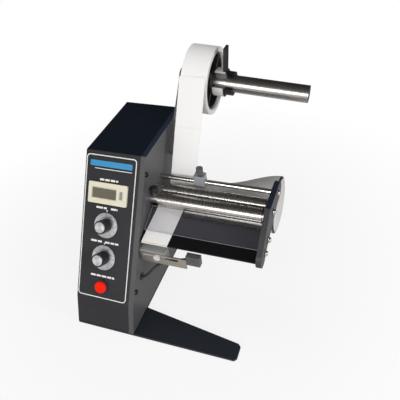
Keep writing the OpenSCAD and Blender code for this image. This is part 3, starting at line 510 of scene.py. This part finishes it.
# A stroke runs from one radius to another, and has half its width last.
LONG_STROKE, SHORT_STROKE, STROKE_T = (8.9, 11.0, 0.2), (9.2, 10.8, 0.12), 0.04
NUMBER_R, NUMBER_SIZE, NUMBER_T, NUMBER_RISE = 12.5, 2.5, 0.02, 0.03


def dial_place(v):
    return lambda x, y, w: on_panel(CONTROL_U + x, v + y, DIAL_W + w)


def on_scale(value):
    """The direction from a dial's middle to a value on its scale."""
    turn = math.radians(90 + SCALE_SPAN / 2 - SCALE_SPAN * value / SCALE_TOP)
    return Vector((math.cos(turn), math.sin(turn)))


black_ink = Finish("black_ink", (0.02, 0.02, 0.022), 0.5)
black_ink.bump(black_ink.noise(2500, 2), 0.00002, 0.3)
for kind, v in DIAL_V.items():
    strokes = []
    for halves in range(2 * SCALE_TOP + 1):
        low, high, half = SHORT_STROKE if halves % 2 else LONG_STROKE
        way = on_scale(halves / 2)
        across = Vector((-way.y, way.x)) * half
        corners = [way * low - across, way * high - across, way * high + across, way * low + across]
        strokes.append([tuple(corner) for corner in corners])
    slab(f"{kind}_strokes", strokes, "chassis", dial_place(v), STROKE_T)
    numbers = [f"{kind}_number_{value}" for value in range(SCALE_TOP + 1)]
    for value, name in enumerate(numbers):
        digit = bpy.data.curves.new(name, "FONT")
        digit.body = str(value)
        digit.size = NUMBER_SIZE * MM
        digit.align_x = "CENTER"
        digit.align_y = "CENTER"
        digit.extrude = NUMBER_T * MM
        number = bpy.data.objects.new(name, digit)
        scene.collection.objects.link(number)
        across, up = on_scale(value) * NUMBER_R
        middle = on_panel(CONTROL_U + across, v + up, DIAL_W + NUMBER_RISE)
        number.matrix_world = Matrix.Translation(middle) @ Matrix.Rotation(PANEL_TILT, 4, "X")
        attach(number, "chassis")
    dress(black_ink, f"{kind}_strokes", *numbers)

# %% [markdown]
# ## Turned metal
# Turning leaves rings on the dials and the knobs' caps that are far finer than a pixel, and they pull
# the reflected lamp into a bright fan. Bump can't show marks that fine, so the finish tilts the normal
# outward and inward by a noise. Both dials are one piece, so each point takes the nearer middle.

# %% Turned metal
CAP_W, SHAFT_W = 14.5, 5


def turned_disc(name, color, roughness, tilt, w, *dials):
    """Bare metal turned about the middle of a dial, or of two, given by their heights v."""
    disc = Finish(name, color, roughness, 1.0)
    ways = []
    for v in dials:
        from_middle = disc.vector("SUBTRACT", disc.place, tuple(on_panel(CONTROL_U, v, w)))
        ways.append(disc.vector("NORMALIZE", from_middle))
    outward = ways[0]
    if len(dials) == 2:
        halfway = on_panel(CONTROL_U, sum(dials) / 2).z
        outward = disc.mix(disc.along(2).above(halfway), *ways)
    play = disc.noise(300, 4)
    disc.set("Roughness", roughness - 0.06 + play * 0.12)
    disc.blend(play, tint(color, 0.8), color)
    disc.grooves((disc.noise(9000, 2) - 0.5) * tilt, outward)
    return disc


for kind, v in DIAL_V.items():
    dress(turned_disc(f"{kind}_cap_metal", (0.62, 0.62, 0.62), 0.34, 1.1, CAP_W, v), f"{kind}_cap")
    dress(turned_disc(f"{kind}_shaft_metal", (0.6, 0.6, 0.6), 0.3, 0.5, SHAFT_W, v), f"{kind}_shaft")
lower_dial, upper_dial = DIAL_V["speed"], DIAL_V["length"]
dress(turned_disc("dial_metal", (0.5, 0.51, 0.53), 0.36, 1.1, DIAL_W, lower_dial, upper_dial),
      "dial_plates")

# %% [markdown]
# ## Moulded plastic
# Knobs, glands and the switch are injection moulded: an even colour with a spark-eroded texture from
# the mould. A fine noise gives the texture and a slower one the slight change in sheen.

# %% Plastics
def moulded(name, color, roughness, grain=3000, depth=0.00003, **fixed):
    plastic = Finish(name, color, roughness, **fixed)
    sheen = plastic.noise(60, 3)
    plastic.blend(sheen, tint(color, 0.86), color)
    plastic.set("Roughness", roughness - 0.06 + sheen * 0.12)
    plastic.bump(plastic.noise(grain, 2), depth, 0.5)
    return plastic


BLACK = (0.014, 0.014, 0.016)
dress(moulded("black_plastic", BLACK, 0.38), "length_knob", "speed_knob", "power_switch", "cord_gland",
      "cable_gland", "pressure_knob")
dress(moulded("cream_plastic", (0.8, 0.76, 0.6), 0.4, 1800), "counter_case")
dress(moulded("reset_plastic", (0.3, 0.29, 0.25), 0.45, 1800), "counter_reset")
dress(moulded("spoke_plastic", (0.02, 0.02, 0.023), 0.42), "core_adapter")
dress(moulded("nylon", (0.66, 0.65, 0.6), 0.4, 1500), "sensor_screw")
dress(moulded("board_green", (0.02, 0.12, 0.05), 0.4), "control_board")
dress(moulded("thumb_plastic", (0.11, 0.11, 0.11), 0.5, 900, 0.0001), "thumb_screw")
dress(moulded("eye_plastic", (0.09, 0.094, 0.098), 0.35), "sensor_body")
red = moulded("red_lens", (0.86, 0.016, 0.004), 0.4, 1500, 0.00002, Specular_IOR_Level=0.05)
red.set("Emission Color", red.mix(red.noise(120, 2), (0.9, 0.012, 0.0), (1.0, 0.03, 0.002)))
red.set("Emission Strength", 0.15)
dress(red, "power_button")

# %% [markdown]
# ## The clip's two plastics
# The snap clip on the tube is white, and the keeper that it carries is black. They are one solid, so
# the finish picks the colour by the distance along the leaning tube and the distance from it.

# %% Clip
TUBE_FOOT = Vector((5.0, 228.5, 215.0)) * MM
TUBE_LEAN = math.radians(3.5)
TUBE_WAY = Vector((math.cos(TUBE_LEAN), 0, -math.sin(TUBE_LEAN)))
CLIP_END, CLIP_R = 51.0 * MM, 17.2 * MM
clip = moulded("clip_plastic", (0.7, 0.7, 0.68), 0.4)
along_tube = clip.vector("DOT_PRODUCT", clip.vector("SUBTRACT", clip.place, tuple(TUBE_FOOT)),
                         tuple(TUBE_WAY), out="Value")
clip_axis = TUBE_FOOT + TUBE_WAY * CLIP_END
off_axis = clip.around((clip_axis.y, clip_axis.z))
keeper = along_tube.above(CLIP_END).either(off_axis.above(CLIP_R))
white_part = clip.mix(clip.noise(60, 3), (0.62, 0.62, 0.6), (0.74, 0.74, 0.72))
clip.blend(keeper, white_part, BLACK)
dress(clip, "roll_clip")

# %% [markdown]
# ## The counter's display
# A liquid crystal display is a grey-green sheet behind glass, with faint seven-part figures even when
# they are off. The window gets a slightly uneven olive grey with a soft gloss, and the figures are a
# little darker. Every figure is the same seven thin plates.

# %% Display
WINDOW_U, WINDOW_WIDE, WINDOW_HIGH, BEZEL_W = -3.8, 30.0, 11.5, 2.5
FIGURES, FIRST_FIGURE_U, FIGURE_PITCH, FIGURE_T = 5, -10.4, 5.2, 0.015
LYING_BAR, STANDING_BAR, BAR_CORNER = (2.0, 0.55), (0.55, 2.1), 0.2
# Each bar is placed across and up from its figure's middle, and the last number says if it lies flat.
SEGMENTS = ((0, 3.1, 1), (0, 0, 1), (0, -3.1, 1), (-1.5, 1.55, 0), (1.5, 1.55, 0),
            (-1.5, -1.55, 0), (1.5, -1.55, 0))
glass = Finish("display", (0.2, 0.21, 0.15), 0.25, Specular_IOR_Level=0.2)
glass.blend(glass.noise(90, 3), (0.13, 0.122, 0.088), (0.17, 0.16, 0.115))
glass.bump(glass.noise(1500, 2), 0.00001, 0.3)
dress(glass, "counter_window")
figure_bars = []
for figure in range(FIGURES):
    for x, y, flat in SEGMENTS:
        wide, high = LYING_BAR if flat else STANDING_BAR
        u = CONTROL_U + WINDOW_U + FIRST_FIGURE_U + FIGURE_PITCH * figure + x
        figure_bars.append(round_box(u, COUNTER_V + y, wide, high, BAR_CORNER, 2))
slab("display_figures", figure_bars, "chassis", on_panel, FIGURE_T, BEZEL_W)
ghost = Finish("display_ghost", (0.13, 0.14, 0.1), 0.2)
ghost.blend(ghost.noise(90, 3), (0.1, 0.094, 0.068), (0.14, 0.132, 0.096))
dress(ghost, "display_figures")

# %% [markdown]
# ## The display's rim
# A shallow border strip stands round the window. It is made of three rings of points, joined by strips
# of faces: it slopes up from the bezel, drops to the window's edge and closes underneath.

# %% Display rim
RIM_SPREAD, RIM_RISE = 2.4, 0.35
rim_u = CONTROL_U + WINDOW_U
rim_outer = round_box(rim_u, COUNTER_V, WINDOW_WIDE + RIM_SPREAD, WINDOW_HIGH + RIM_SPREAD, 0.8, 3)
rim_inner = round_box(rim_u, COUNTER_V, WINDOW_WIDE, WINDOW_HIGH, 0.4, 3)
count = len(rim_outer)
rim_points, rim_faces = [], []
for loop, w in ((rim_outer, BEZEL_W), (rim_inner, BEZEL_W + RIM_RISE), (rim_inner, BEZEL_W)):
    rim_points += [on_panel(u, v, w) for u, v in loop]
for one, other in ((0, 1), (1, 2), (2, 0)):
    rim_faces += strip(one * count, other * count, count)
add_mesh("display_rim", rim_points, rim_faces, "chassis")
dress(moulded("rim_plastic", (0.66, 0.63, 0.5), 0.4, 1800), "display_rim")

# %% [markdown]
# ## Bare metal
# Ground rods and turned rollers have fine marks that run round them. They blur what the metal reflects
# along the rod and leave it sharp across, so the lamps become long bright lines. Noise that is
# squeezed along X gives the marks as rings, and a finer one tilts the normal along X. Sheet metal is
# brushed the other way and only gets bump.

# %% Metals
def bare_metal(name, color, roughness, stretch, tilt=0.0):
    """Metal whose marks have the stretch's shape. They tilt the normal, or else are bump."""
    metal = Finish(name, color, roughness, 1.0)
    marks = metal.noise(420, 4, stretch)
    haze = metal.noise(45, 3)
    metal.blend(marks * 0.5 + haze * 0.5, tint(color, 0.72), color)
    metal.set("Roughness", roughness + (marks + haze - 1) * 0.12)
    if tilt:
        metal.grooves((metal.noise(2600, 2, stretch) - 0.5) * tilt, (1, 0, 0))
    else:
        metal.bump(marks, 0.00003, 0.5)
    return metal


ROUND_MARKS = (8, 0.4, 0.4)
LONG_MARKS = (0.15, 6, 6)
dress(bare_metal("roller_metal", (0.6, 0.57, 0.54), 0.27, ROUND_MARKS, tilt=0.5), "guide_roller",
      "press_roller")
dress(bare_metal("rod_metal", (0.8, 0.77, 0.72), 0.16, ROUND_MARKS, tilt=0.4), "guide_rod")
dress(bare_metal("axle_metal", (0.74, 0.71, 0.68), 0.22, ROUND_MARKS, tilt=0.4), "fixed_axles",
      "drive_shaft", "take_up_shaft", "shaft_bearings")
dress(bare_metal("tube_metal", (0.56, 0.535, 0.51), 0.28, ROUND_MARKS, tilt=0.5), "roll_tube")
dress(bare_metal("pulley_metal", (0.7, 0.7, 0.7), 0.3, ROUND_MARKS, tilt=0.4), "drive_pulley",
      "take_up_pulley")
dress(bare_metal("link_metal", (0.72, 0.7, 0.68), 0.28, LONG_MARKS), "roller_links", "cross_bars")
dress(bare_metal("bar_metal", (0.5, 0.5, 0.51), 0.26, LONG_MARKS), "press_bar")
dress(bare_metal("bracket_metal", (0.62, 0.57, 0.5), 0.4, LONG_MARKS), "sensor_bracket")
dress(bare_metal("zinc", (0.5, 0.5, 0.49), 0.42, (2, 2, 2)), "potentiometers", "gearbox", "motor",
      "pinch_lever")
dress(bare_metal("spring_wire", (0.7, 0.7, 0.71), 0.24, (4, 4, 4)), "pinch_spring")

# %% [markdown]
# ## The take-up drum
# The drum is spun from aluminium sheet and left bare, with soft smears from handling. Its dull skin
# scatters light much as paint does, so it is only partly metallic. A near-black band along the edge of
# its closed end is painted shade, so the finish chooses it by X and by the distance from the axis.

# %% The drum's finish
RIM_X, RIM_R = 130.2 * MM, 33.4 * MM
TAKE_UP_AXIS = (178.0 * MM, 78.0 * MM)
drum = Finish("drum_metal", (0.62, 0.61, 0.62), 0.38, 0.35)
# The rim's near-black band is painted shade, not a colour of the metal.
rim_shade_band = drum.along(0).above(RIM_X) * drum.around(TAKE_UP_AXIS).above(RIM_R)
smears = drum.noise(60, 4, (1, 2.5, 2.5))
smeared = drum.mix(smears, (0.66, 0.65, 0.66), (0.84, 0.83, 0.84))
drum.blend(rim_shade_band, smeared, (0.03, 0.03, 0.035))
drum.set("Roughness", 0.3 + smears * 0.2)
drum.bump(drum.noise(420, 4, ROUND_MARKS), 0.00006, 0.5)
dress(drum, "take_up_drum")

# %% [markdown]
# ## Black plate
# The peel plate is black anodised aluminium, with a dye so dark that only faint rolling marks show
# along its length.

# %% Anodised plate
black_plate = Finish("black_anodised", (0.006, 0.006, 0.007), 0.32, Specular_IOR_Level=0.2)
rolling = black_plate.noise(300, 4, (0.2, 5, 5))
black_plate.blend(rolling, (0.003, 0.003, 0.004), (0.008, 0.008, 0.009))
black_plate.set("Roughness", 0.24 + rolling * 0.18)
black_plate.bump(rolling, 0.00001, 0.15)
dress(black_plate, "peel_plate")

# %% [markdown]
# ## Rubber and belt
# The drive roller and the pinch roller wear a smooth black rubber sleeve with a dusty bloom. The belt
# is orange polyurethane, which looks waxy in the same way.

# %% Rubber
def rubber(name, color, roughness):
    sleeve = Finish(name, color, roughness)
    bloom = sleeve.noise(140, 4)
    sleeve.blend(bloom ** 2, color, tint(color, 1.5, 0.02))
    sleeve.bump(sleeve.noise(1800, 3), 0.00005, 0.5)
    return sleeve


dress(rubber("black_rubber", (0.015, 0.015, 0.016), 0.62), "drive_rubber", "pinch_roller")
dress(rubber("belt_orange", (0.6, 0.18, 0.02), 0.4), "drive_belt")

# %% [markdown]
# ## Clear plastic
# The press plate is sawn from clear acrylic. Seen flat on, it only veils what lies behind it, but its
# cut edges glow, because light travels along inside the sheet. So the finish is mostly see-through, and
# turns paler and denser where the surface is one of the edges. The web guide is made the same way from
# a smoky sheet, which covers far more.

# %% Clear plates
# The press plate's slope, close enough to tell its broad faces from its edges.
SLOPE = math.atan2(16.0, 46.0)


def clear_plate(name, veil, cover, edge_cover, flat):
    """Acrylic whose broad faces point along flat, and whose edges are brighter than the rest."""
    plate = Finish(name, veil, 0.08, Coat_Weight=0.1, Coat_Roughness=0.03, Specular_IOR_Level=0.3)
    edge = abs(plate.facing(flat)).below(0.8)
    scuffs = plate.noise(500, 4, (1, 0.2, 0.2))
    # The paler colour on the edges is a painted highlight for the light inside the sheet.
    plate.blend(edge, veil, (0.42, 0.44, 0.46))
    plate.set("Alpha", edge * (edge_cover - cover) + cover)
    plate.set("Roughness", scuffs * 0.05 + 0.05)
    plate.bump(scuffs, 0.00001, 0.3)
    return plate


slope_out = Vector((0, -math.sin(SLOPE), math.cos(SLOPE)))
dress(clear_plate("press_acrylic", (0.26, 0.26, 0.31), 0.1, 0.6, slope_out), "press_plate")
dress(clear_plate("guide_acrylic", (0.09, 0.09, 0.094), 0.66, 0.7, (0, 0, 1)), "web_guide")

# %% [markdown]
# ## Paper
# The roll is a long web of labels on glassine liner, wound on a card core. Its flat sides show the
# edges of the turns as faint rings, so the finish draws rings by the distance from the roll's axis.
# The web itself is white and smooth, with a fine line where each label ends.

# %% Paper finishes
TURN_PITCH = 0.55 * MM
low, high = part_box("label_roll")
roll_center = ((low[1] + high[1]) / 2, (low[2] + high[2]) / 2)
paper = Finish("roll_paper", (0.82, 0.82, 0.81), 0.55)
turns = (paper.around(roll_center) * (2 * math.pi / TURN_PITCH)).sine()
cloudy = paper.noise(70, 3)
flat_side = abs(paper.facing((1, 0, 0))).above(0.7)
ringed = paper.mix(turns * 0.25 + cloudy * 0.6, (0.66, 0.66, 0.65), (0.8, 0.8, 0.79))
wrapped = paper.mix(cloudy, (0.87, 0.86, 0.85), (0.9, 0.89, 0.88))
paper.blend(flat_side, wrapped, ringed)
paper.bump(turns * flat_side + cloudy * 0.3, 0.00006, 0.5)
dress(paper, "label_roll")

WHITE_PAPER = (0.9, 0.89, 0.88)
LABEL_PITCH, LABEL_START, LINE_SHARE = 42.0 * MM, 0.1, 0.03
web = Finish("web_paper", WHITE_PAPER, 0.42)
line = (web.along(1) / LABEL_PITCH + LABEL_START).fraction().below(LINE_SHARE)
mottle = web.noise(220, 3)
web.blend(line * 0.1 + mottle * 0.06, WHITE_PAPER, (0.6, 0.6, 0.58))
web.set("Roughness", 0.34 + mottle * 0.18)
web.bump(mottle, 0.00004, 0.4)
dress(web, "label_web")
liner = Finish("glassine", (0.7, 0.67, 0.56), 0.35)
fibre = liner.noise(260, 4, (0.6, 2, 2))
liner.blend(fibre, (0.62, 0.59, 0.48), (0.74, 0.71, 0.61))
liner.bump(fibre, 0.00004, 0.4)
dress(liner, "liner_return")

# %% [markdown]
# ## Screws
# The plain screws of the solid model are replaced by button heads with a hexagonal recess. A screw
# head is a turned shape, so one function makes rings of points along X: the rim, the dome, and the
# socket, whose ring is drawn in to six flats.

# %% Screw heads
HEAD_R, HEAD_T, SOCKET_R = 3.0, 2.0, 1.45
# The washer's profile, as its rise from the plate and its radius in millimetres.
WASHER_T = 0.8
WASHER = ((0, 3.9), (0.15, 4.0), (0.65, 4.0), (WASHER_T, 3.85))
# The dome and the socket, as shares of the head's height and of their own radius.
DOME = ((0, 1), (0.55, 1), (0.85, 0.88), (1, 0.66))
SOCKET = ((1, 1.08), (0.35, 1))
AROUND = 24


def ring(x, radius, center, six=False):
    points = []
    for i in range(AROUND):
        a = 2 * math.pi * i / AROUND
        r = radius
        if six:
            r = radius * math.cos(math.pi / 6) / math.cos((a + math.pi / 6) % (math.pi / 3) - math.pi / 6)
        points.append(Vector((x, center[0] + r * math.cos(a), center[1] + r * math.sin(a))) * MM)
    return points


def turned(name, rings, body):
    points = [p for r in rings for p in r]
    faces = []
    for k in range(len(rings) - 1):
        faces += strip(k * AROUND, (k + 1) * AROUND, AROUND)
    faces.append(list(range(AROUND)))
    faces.append([(len(rings) - 1) * AROUND + i for i in range(AROUND)])
    piece = add_mesh(name, points, faces, body, smooth=True)
    piece.data.set_sharp_from_angle(angle=math.radians(35))
    return piece


def screw(name, center, x, washer):
    rings = []
    if washer:
        rings += [ring(x + rise, radius, center) for rise, radius in WASHER]
        x += WASHER_T
    rings += [ring(x + HEAD_T * up, HEAD_R * out, center) for up, out in DOME]
    rings += [ring(x + HEAD_T * up, SOCKET_R * out, center, True) for up, out in SOCKET]
    return turned(name, rings, "chassis")


# %% [markdown]
# ## Where the screws sit
# Four bright screws with washers hold the outer plate: one at the guide rod, one at the rollers' links
# and one at each of the two bars under the peel plate. Four black ones without washers hold the side
# plate. Each place is a pair of Y and Z.

# %% Screws in place
PLATE_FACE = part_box("outer_plate")[1][0] / MM
# The rod's and the rollers' middles, then the peel plate's tip and its bend.
ROD_C, GUIDE_C, PRESS_C = (132.0, 137.0), (119.0, 128.0), (102.0, 128.0)
PEEL_C, BEND_C = Vector((58.0, 100.5)), Vector((103.0, 118.0))
slope_way = (BEND_C - PEEL_C).normalized()
slope_down = Vector((slope_way.y, -slope_way.x))
# Each bar has its place up the slope and its side.
BARS, PEEL_T = ((14.0, 4.0), (30.0, 5.0)), 2.0
outer_places = [ROD_C, ((GUIDE_C[0] + PRESS_C[0]) / 2, GUIDE_C[1])]
outer_places += [tuple(PEEL_C + slope_way * s + slope_down * (PEEL_T + w) / 2) for s, w in BARS]
CASE_IN, CASE_RISES = 4.5, (12.5, 126.5)
CASE_BACK = [(203.0, 17.0), (203.0, 149.0)]
case_places = list(CASE_BACK)
for rise in CASE_RISES:
    along_panel = BEND + (CREST - BEND) * rise / (CREST.z - BEND.z)
    case_places.append((along_panel.y + CASE_IN, along_panel.z))
bright, black = [], []
for i, place in enumerate(outer_places):
    bright.append(screw(f"outer_screw_{i}", place, PLATE_FACE, True))
for i, place in enumerate(case_places):
    black.append(screw(f"case_screw_{i}", place, 0.0, False))
for piece in bright + black:
    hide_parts("plate_screws")
EVEN_MARKS = (3, 3, 3)
bright_zinc = bare_metal("bright_zinc", (0.78, 0.78, 0.77), 0.22, EVEN_MARKS)
black_oxide = bare_metal("black_oxide", (0.05, 0.05, 0.052), 0.34, EVEN_MARKS)
dress(bright_zinc, *[p.name for p in bright])
dress(black_oxide, *[p.name for p in black])

# %% [markdown]
# ## The sensor's cable
# The eye's cable is a soft black lead. It leaves the back of the eye, bends behind the block, drops
# under its own weight and goes into the side plate through a grommet. A smooth curve through a few
# given points gives that, with a round bevel as its sheath. The bevel is one unit deep and each
# point scales it down to the sheath's radius, so the curve's own box stays as small as the cable.

# %% Cable
CABLE_D = 3.0
ROUTE = [
    (60, 58, 88), (60, 61, 87), (58, 63, 83), (53, 64, 79), (46, 64, 76), (38, 63, 74), (30, 61, 72),
    (23, 59, 69), (17, 57, 66), (12, 54, 62), (8, 50, 58), (5, 47, 56), (2, 45, 55), (-3, 45, 55),
    (-9, 45, 55), (-15, 45, 55), (-21, 45, 55), (-27, 45, 55),
]


def smooth_route(points, steps=4):
    """Points of a curve that passes through every given point."""
    p = [Vector(q) * MM for q in points]
    p = [2 * p[0] - p[1]] + p + [2 * p[-1] - p[-2]]
    line = []
    for a, b, c, d in zip(p, p[1:], p[2:], p[3:]):
        for k in range(steps):
            t = k / steps
            line.append(0.5 * (2 * b + (c - a) * t + (2 * a - 5 * b + 4 * c - d) * t**2
                               + (3 * b - a - 3 * c + d) * t**3))
    return line + [p[-2]]


line_points = smooth_route(ROUTE)
cable_length = sum((b - a).length for a, b in zip(line_points, line_points[1:]))
lead = bpy.data.curves.new("eye_cable", "CURVE")
lead.dimensions = "3D"
lead.bevel_depth = 1.0
lead.bevel_resolution = 4
lead.use_fill_caps = True
spline = lead.splines.new("POLY")
spline.points.add(len(line_points) - 1)
for knot, p in zip(spline.points, line_points):
    knot.co = (*p, 1)
    knot.radius = CABLE_D / 2 * MM
spline.use_smooth = True
cable = bpy.data.objects.new("eye_cable", lead)
scene.collection.objects.link(cable)
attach(cable, "sensor")
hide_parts("sensor_cable")
dress(rubber("cable_sheath", (0.012, 0.012, 0.013), 0.45), "eye_cable")
print("cable length", round(cable_length, 4))

# %% [markdown]
# ## The floor
# A pale table takes the soft shadow. Beyond the machine it fades into the white background, which a
# Mix Shader does by the distance from the machine's middle. A Light Path node makes most of what the
# camera sees of the table a plain white glow. That pales the shadow and puts no light on the machine.

# %% Floor
FLOOR, FLOOR_DROP = 3.0, 0.0003
FADE_START, FADE_END = 0.22, 0.45
CAMERA_GLOW = 0.82
corners = [(x, y, 0) for x, y in ((-FLOOR, -FLOOR), (FLOOR, -FLOOR), (FLOOR, FLOOR), (-FLOOR, FLOOR))]
floor_mesh = bpy.data.meshes.new("floor")
floor_mesh.from_pydata(corners, [], [[0, 1, 2, 3]])
floor = bpy.data.objects.new("floor", floor_mesh)
scene.collection.objects.link(floor)
floor.location.z = -FLOOR_DROP
table = Finish("table_white", (0.86, 0.86, 0.86), 0.6)
table.blend(table.noise(300, 3), (0.84, 0.84, 0.84), (0.88, 0.88, 0.88))
table.bump(table.noise(900, 2), 0.00003, 0.2)
away = table.vector("DISTANCE", table.place, MIDDLE, out="Value")
fade = table.ramp(away, (FADE_START, 0.0), (FADE_END, 1.0))
camera_ray = table.node("ShaderNodeLightPath", out="Is Camera Ray")
glow = table.node("ShaderNodeEmission")
clear = table.node("ShaderNodeBsdfTransparent")
lit = Wire(table, table.shader.outputs[0])
lifted = table.node("ShaderNodeMixShader", inputs={0: camera_ray * CAMERA_GLOW, 1: lit, 2: glow})
faded = table.node("ShaderNodeMixShader", inputs={0: fade, 1: lifted, 2: clear})
table.join(faded, table.tree.nodes["Material Output"].inputs["Surface"])
floor_mesh.materials.append(table.material)
print("floor fades out from", FADE_START, "m to", FADE_END, "m")

# %% [markdown]
# ## The white background and the room
# The camera and clear plastic see plain white. Light and metal get a studio instead: bright at the
# horizon, where the white walls are, and dark overhead, more so at the back. Reflections see a dimmer
# version of it, and polished rollers show it as dark and bright lines along them.

# %% World
# How bright the room is by height, where 0 is straight down, 0.5 the horizon and 1 straight up.
STUDIO = ((0.0, 0.8), (0.5, 0.8), (0.6, 1.0), (0.7, 0.75), (0.8, 0.16), (1.0, 0.05))
MIRRORED = ((0.0, 0.8), (0.5, 0.7), (0.57, 0.5), (0.64, 0.4), (0.76, 0.18), (1.0, 0.12))
FRONT_TINT, BACK_TINT, BACK_MIRRORED = (1, 0.98, 0.96), (0.5, 0.47, 0.45), (0.1, 0.095, 0.09)
WHITE = (1, 1, 1)
world = bpy.data.worlds.new("room")
scene.world = world
world.use_nodes = True
room = Network(world.node_tree)
way = room.node("ShaderNodeTexCoord", out="Generated")
height = room.part(way, 2) * 0.5 + 0.5
backward = room.part(way, 1) * 0.5 + 0.5
lighting = room.vector("MULTIPLY", room.ramp(height, *STUDIO), room.mix(backward, FRONT_TINT, BACK_TINT))
mirror_tint = room.mix(backward, FRONT_TINT, BACK_MIRRORED)
mirrored = room.vector("MULTIPLY", room.ramp(height, *MIRRORED), mirror_tint)
glossy_ray = room.node("ShaderNodeLightPath", out="Is Glossy Ray")
camera_ray = room.node("ShaderNodeLightPath", out="Is Camera Ray")
clear_ray = room.node("ShaderNodeLightPath", out="Is Transmission Ray")
unseen = room.mix(glossy_ray, lighting, mirrored)
background = world.node_tree.nodes["Background"]
room.join(room.mix(camera_ray.either(clear_ray), unseen, WHITE), background.inputs["Color"])
print("room with", len(STUDIO), "steps of light and", len(MIRRORED), "of reflection")
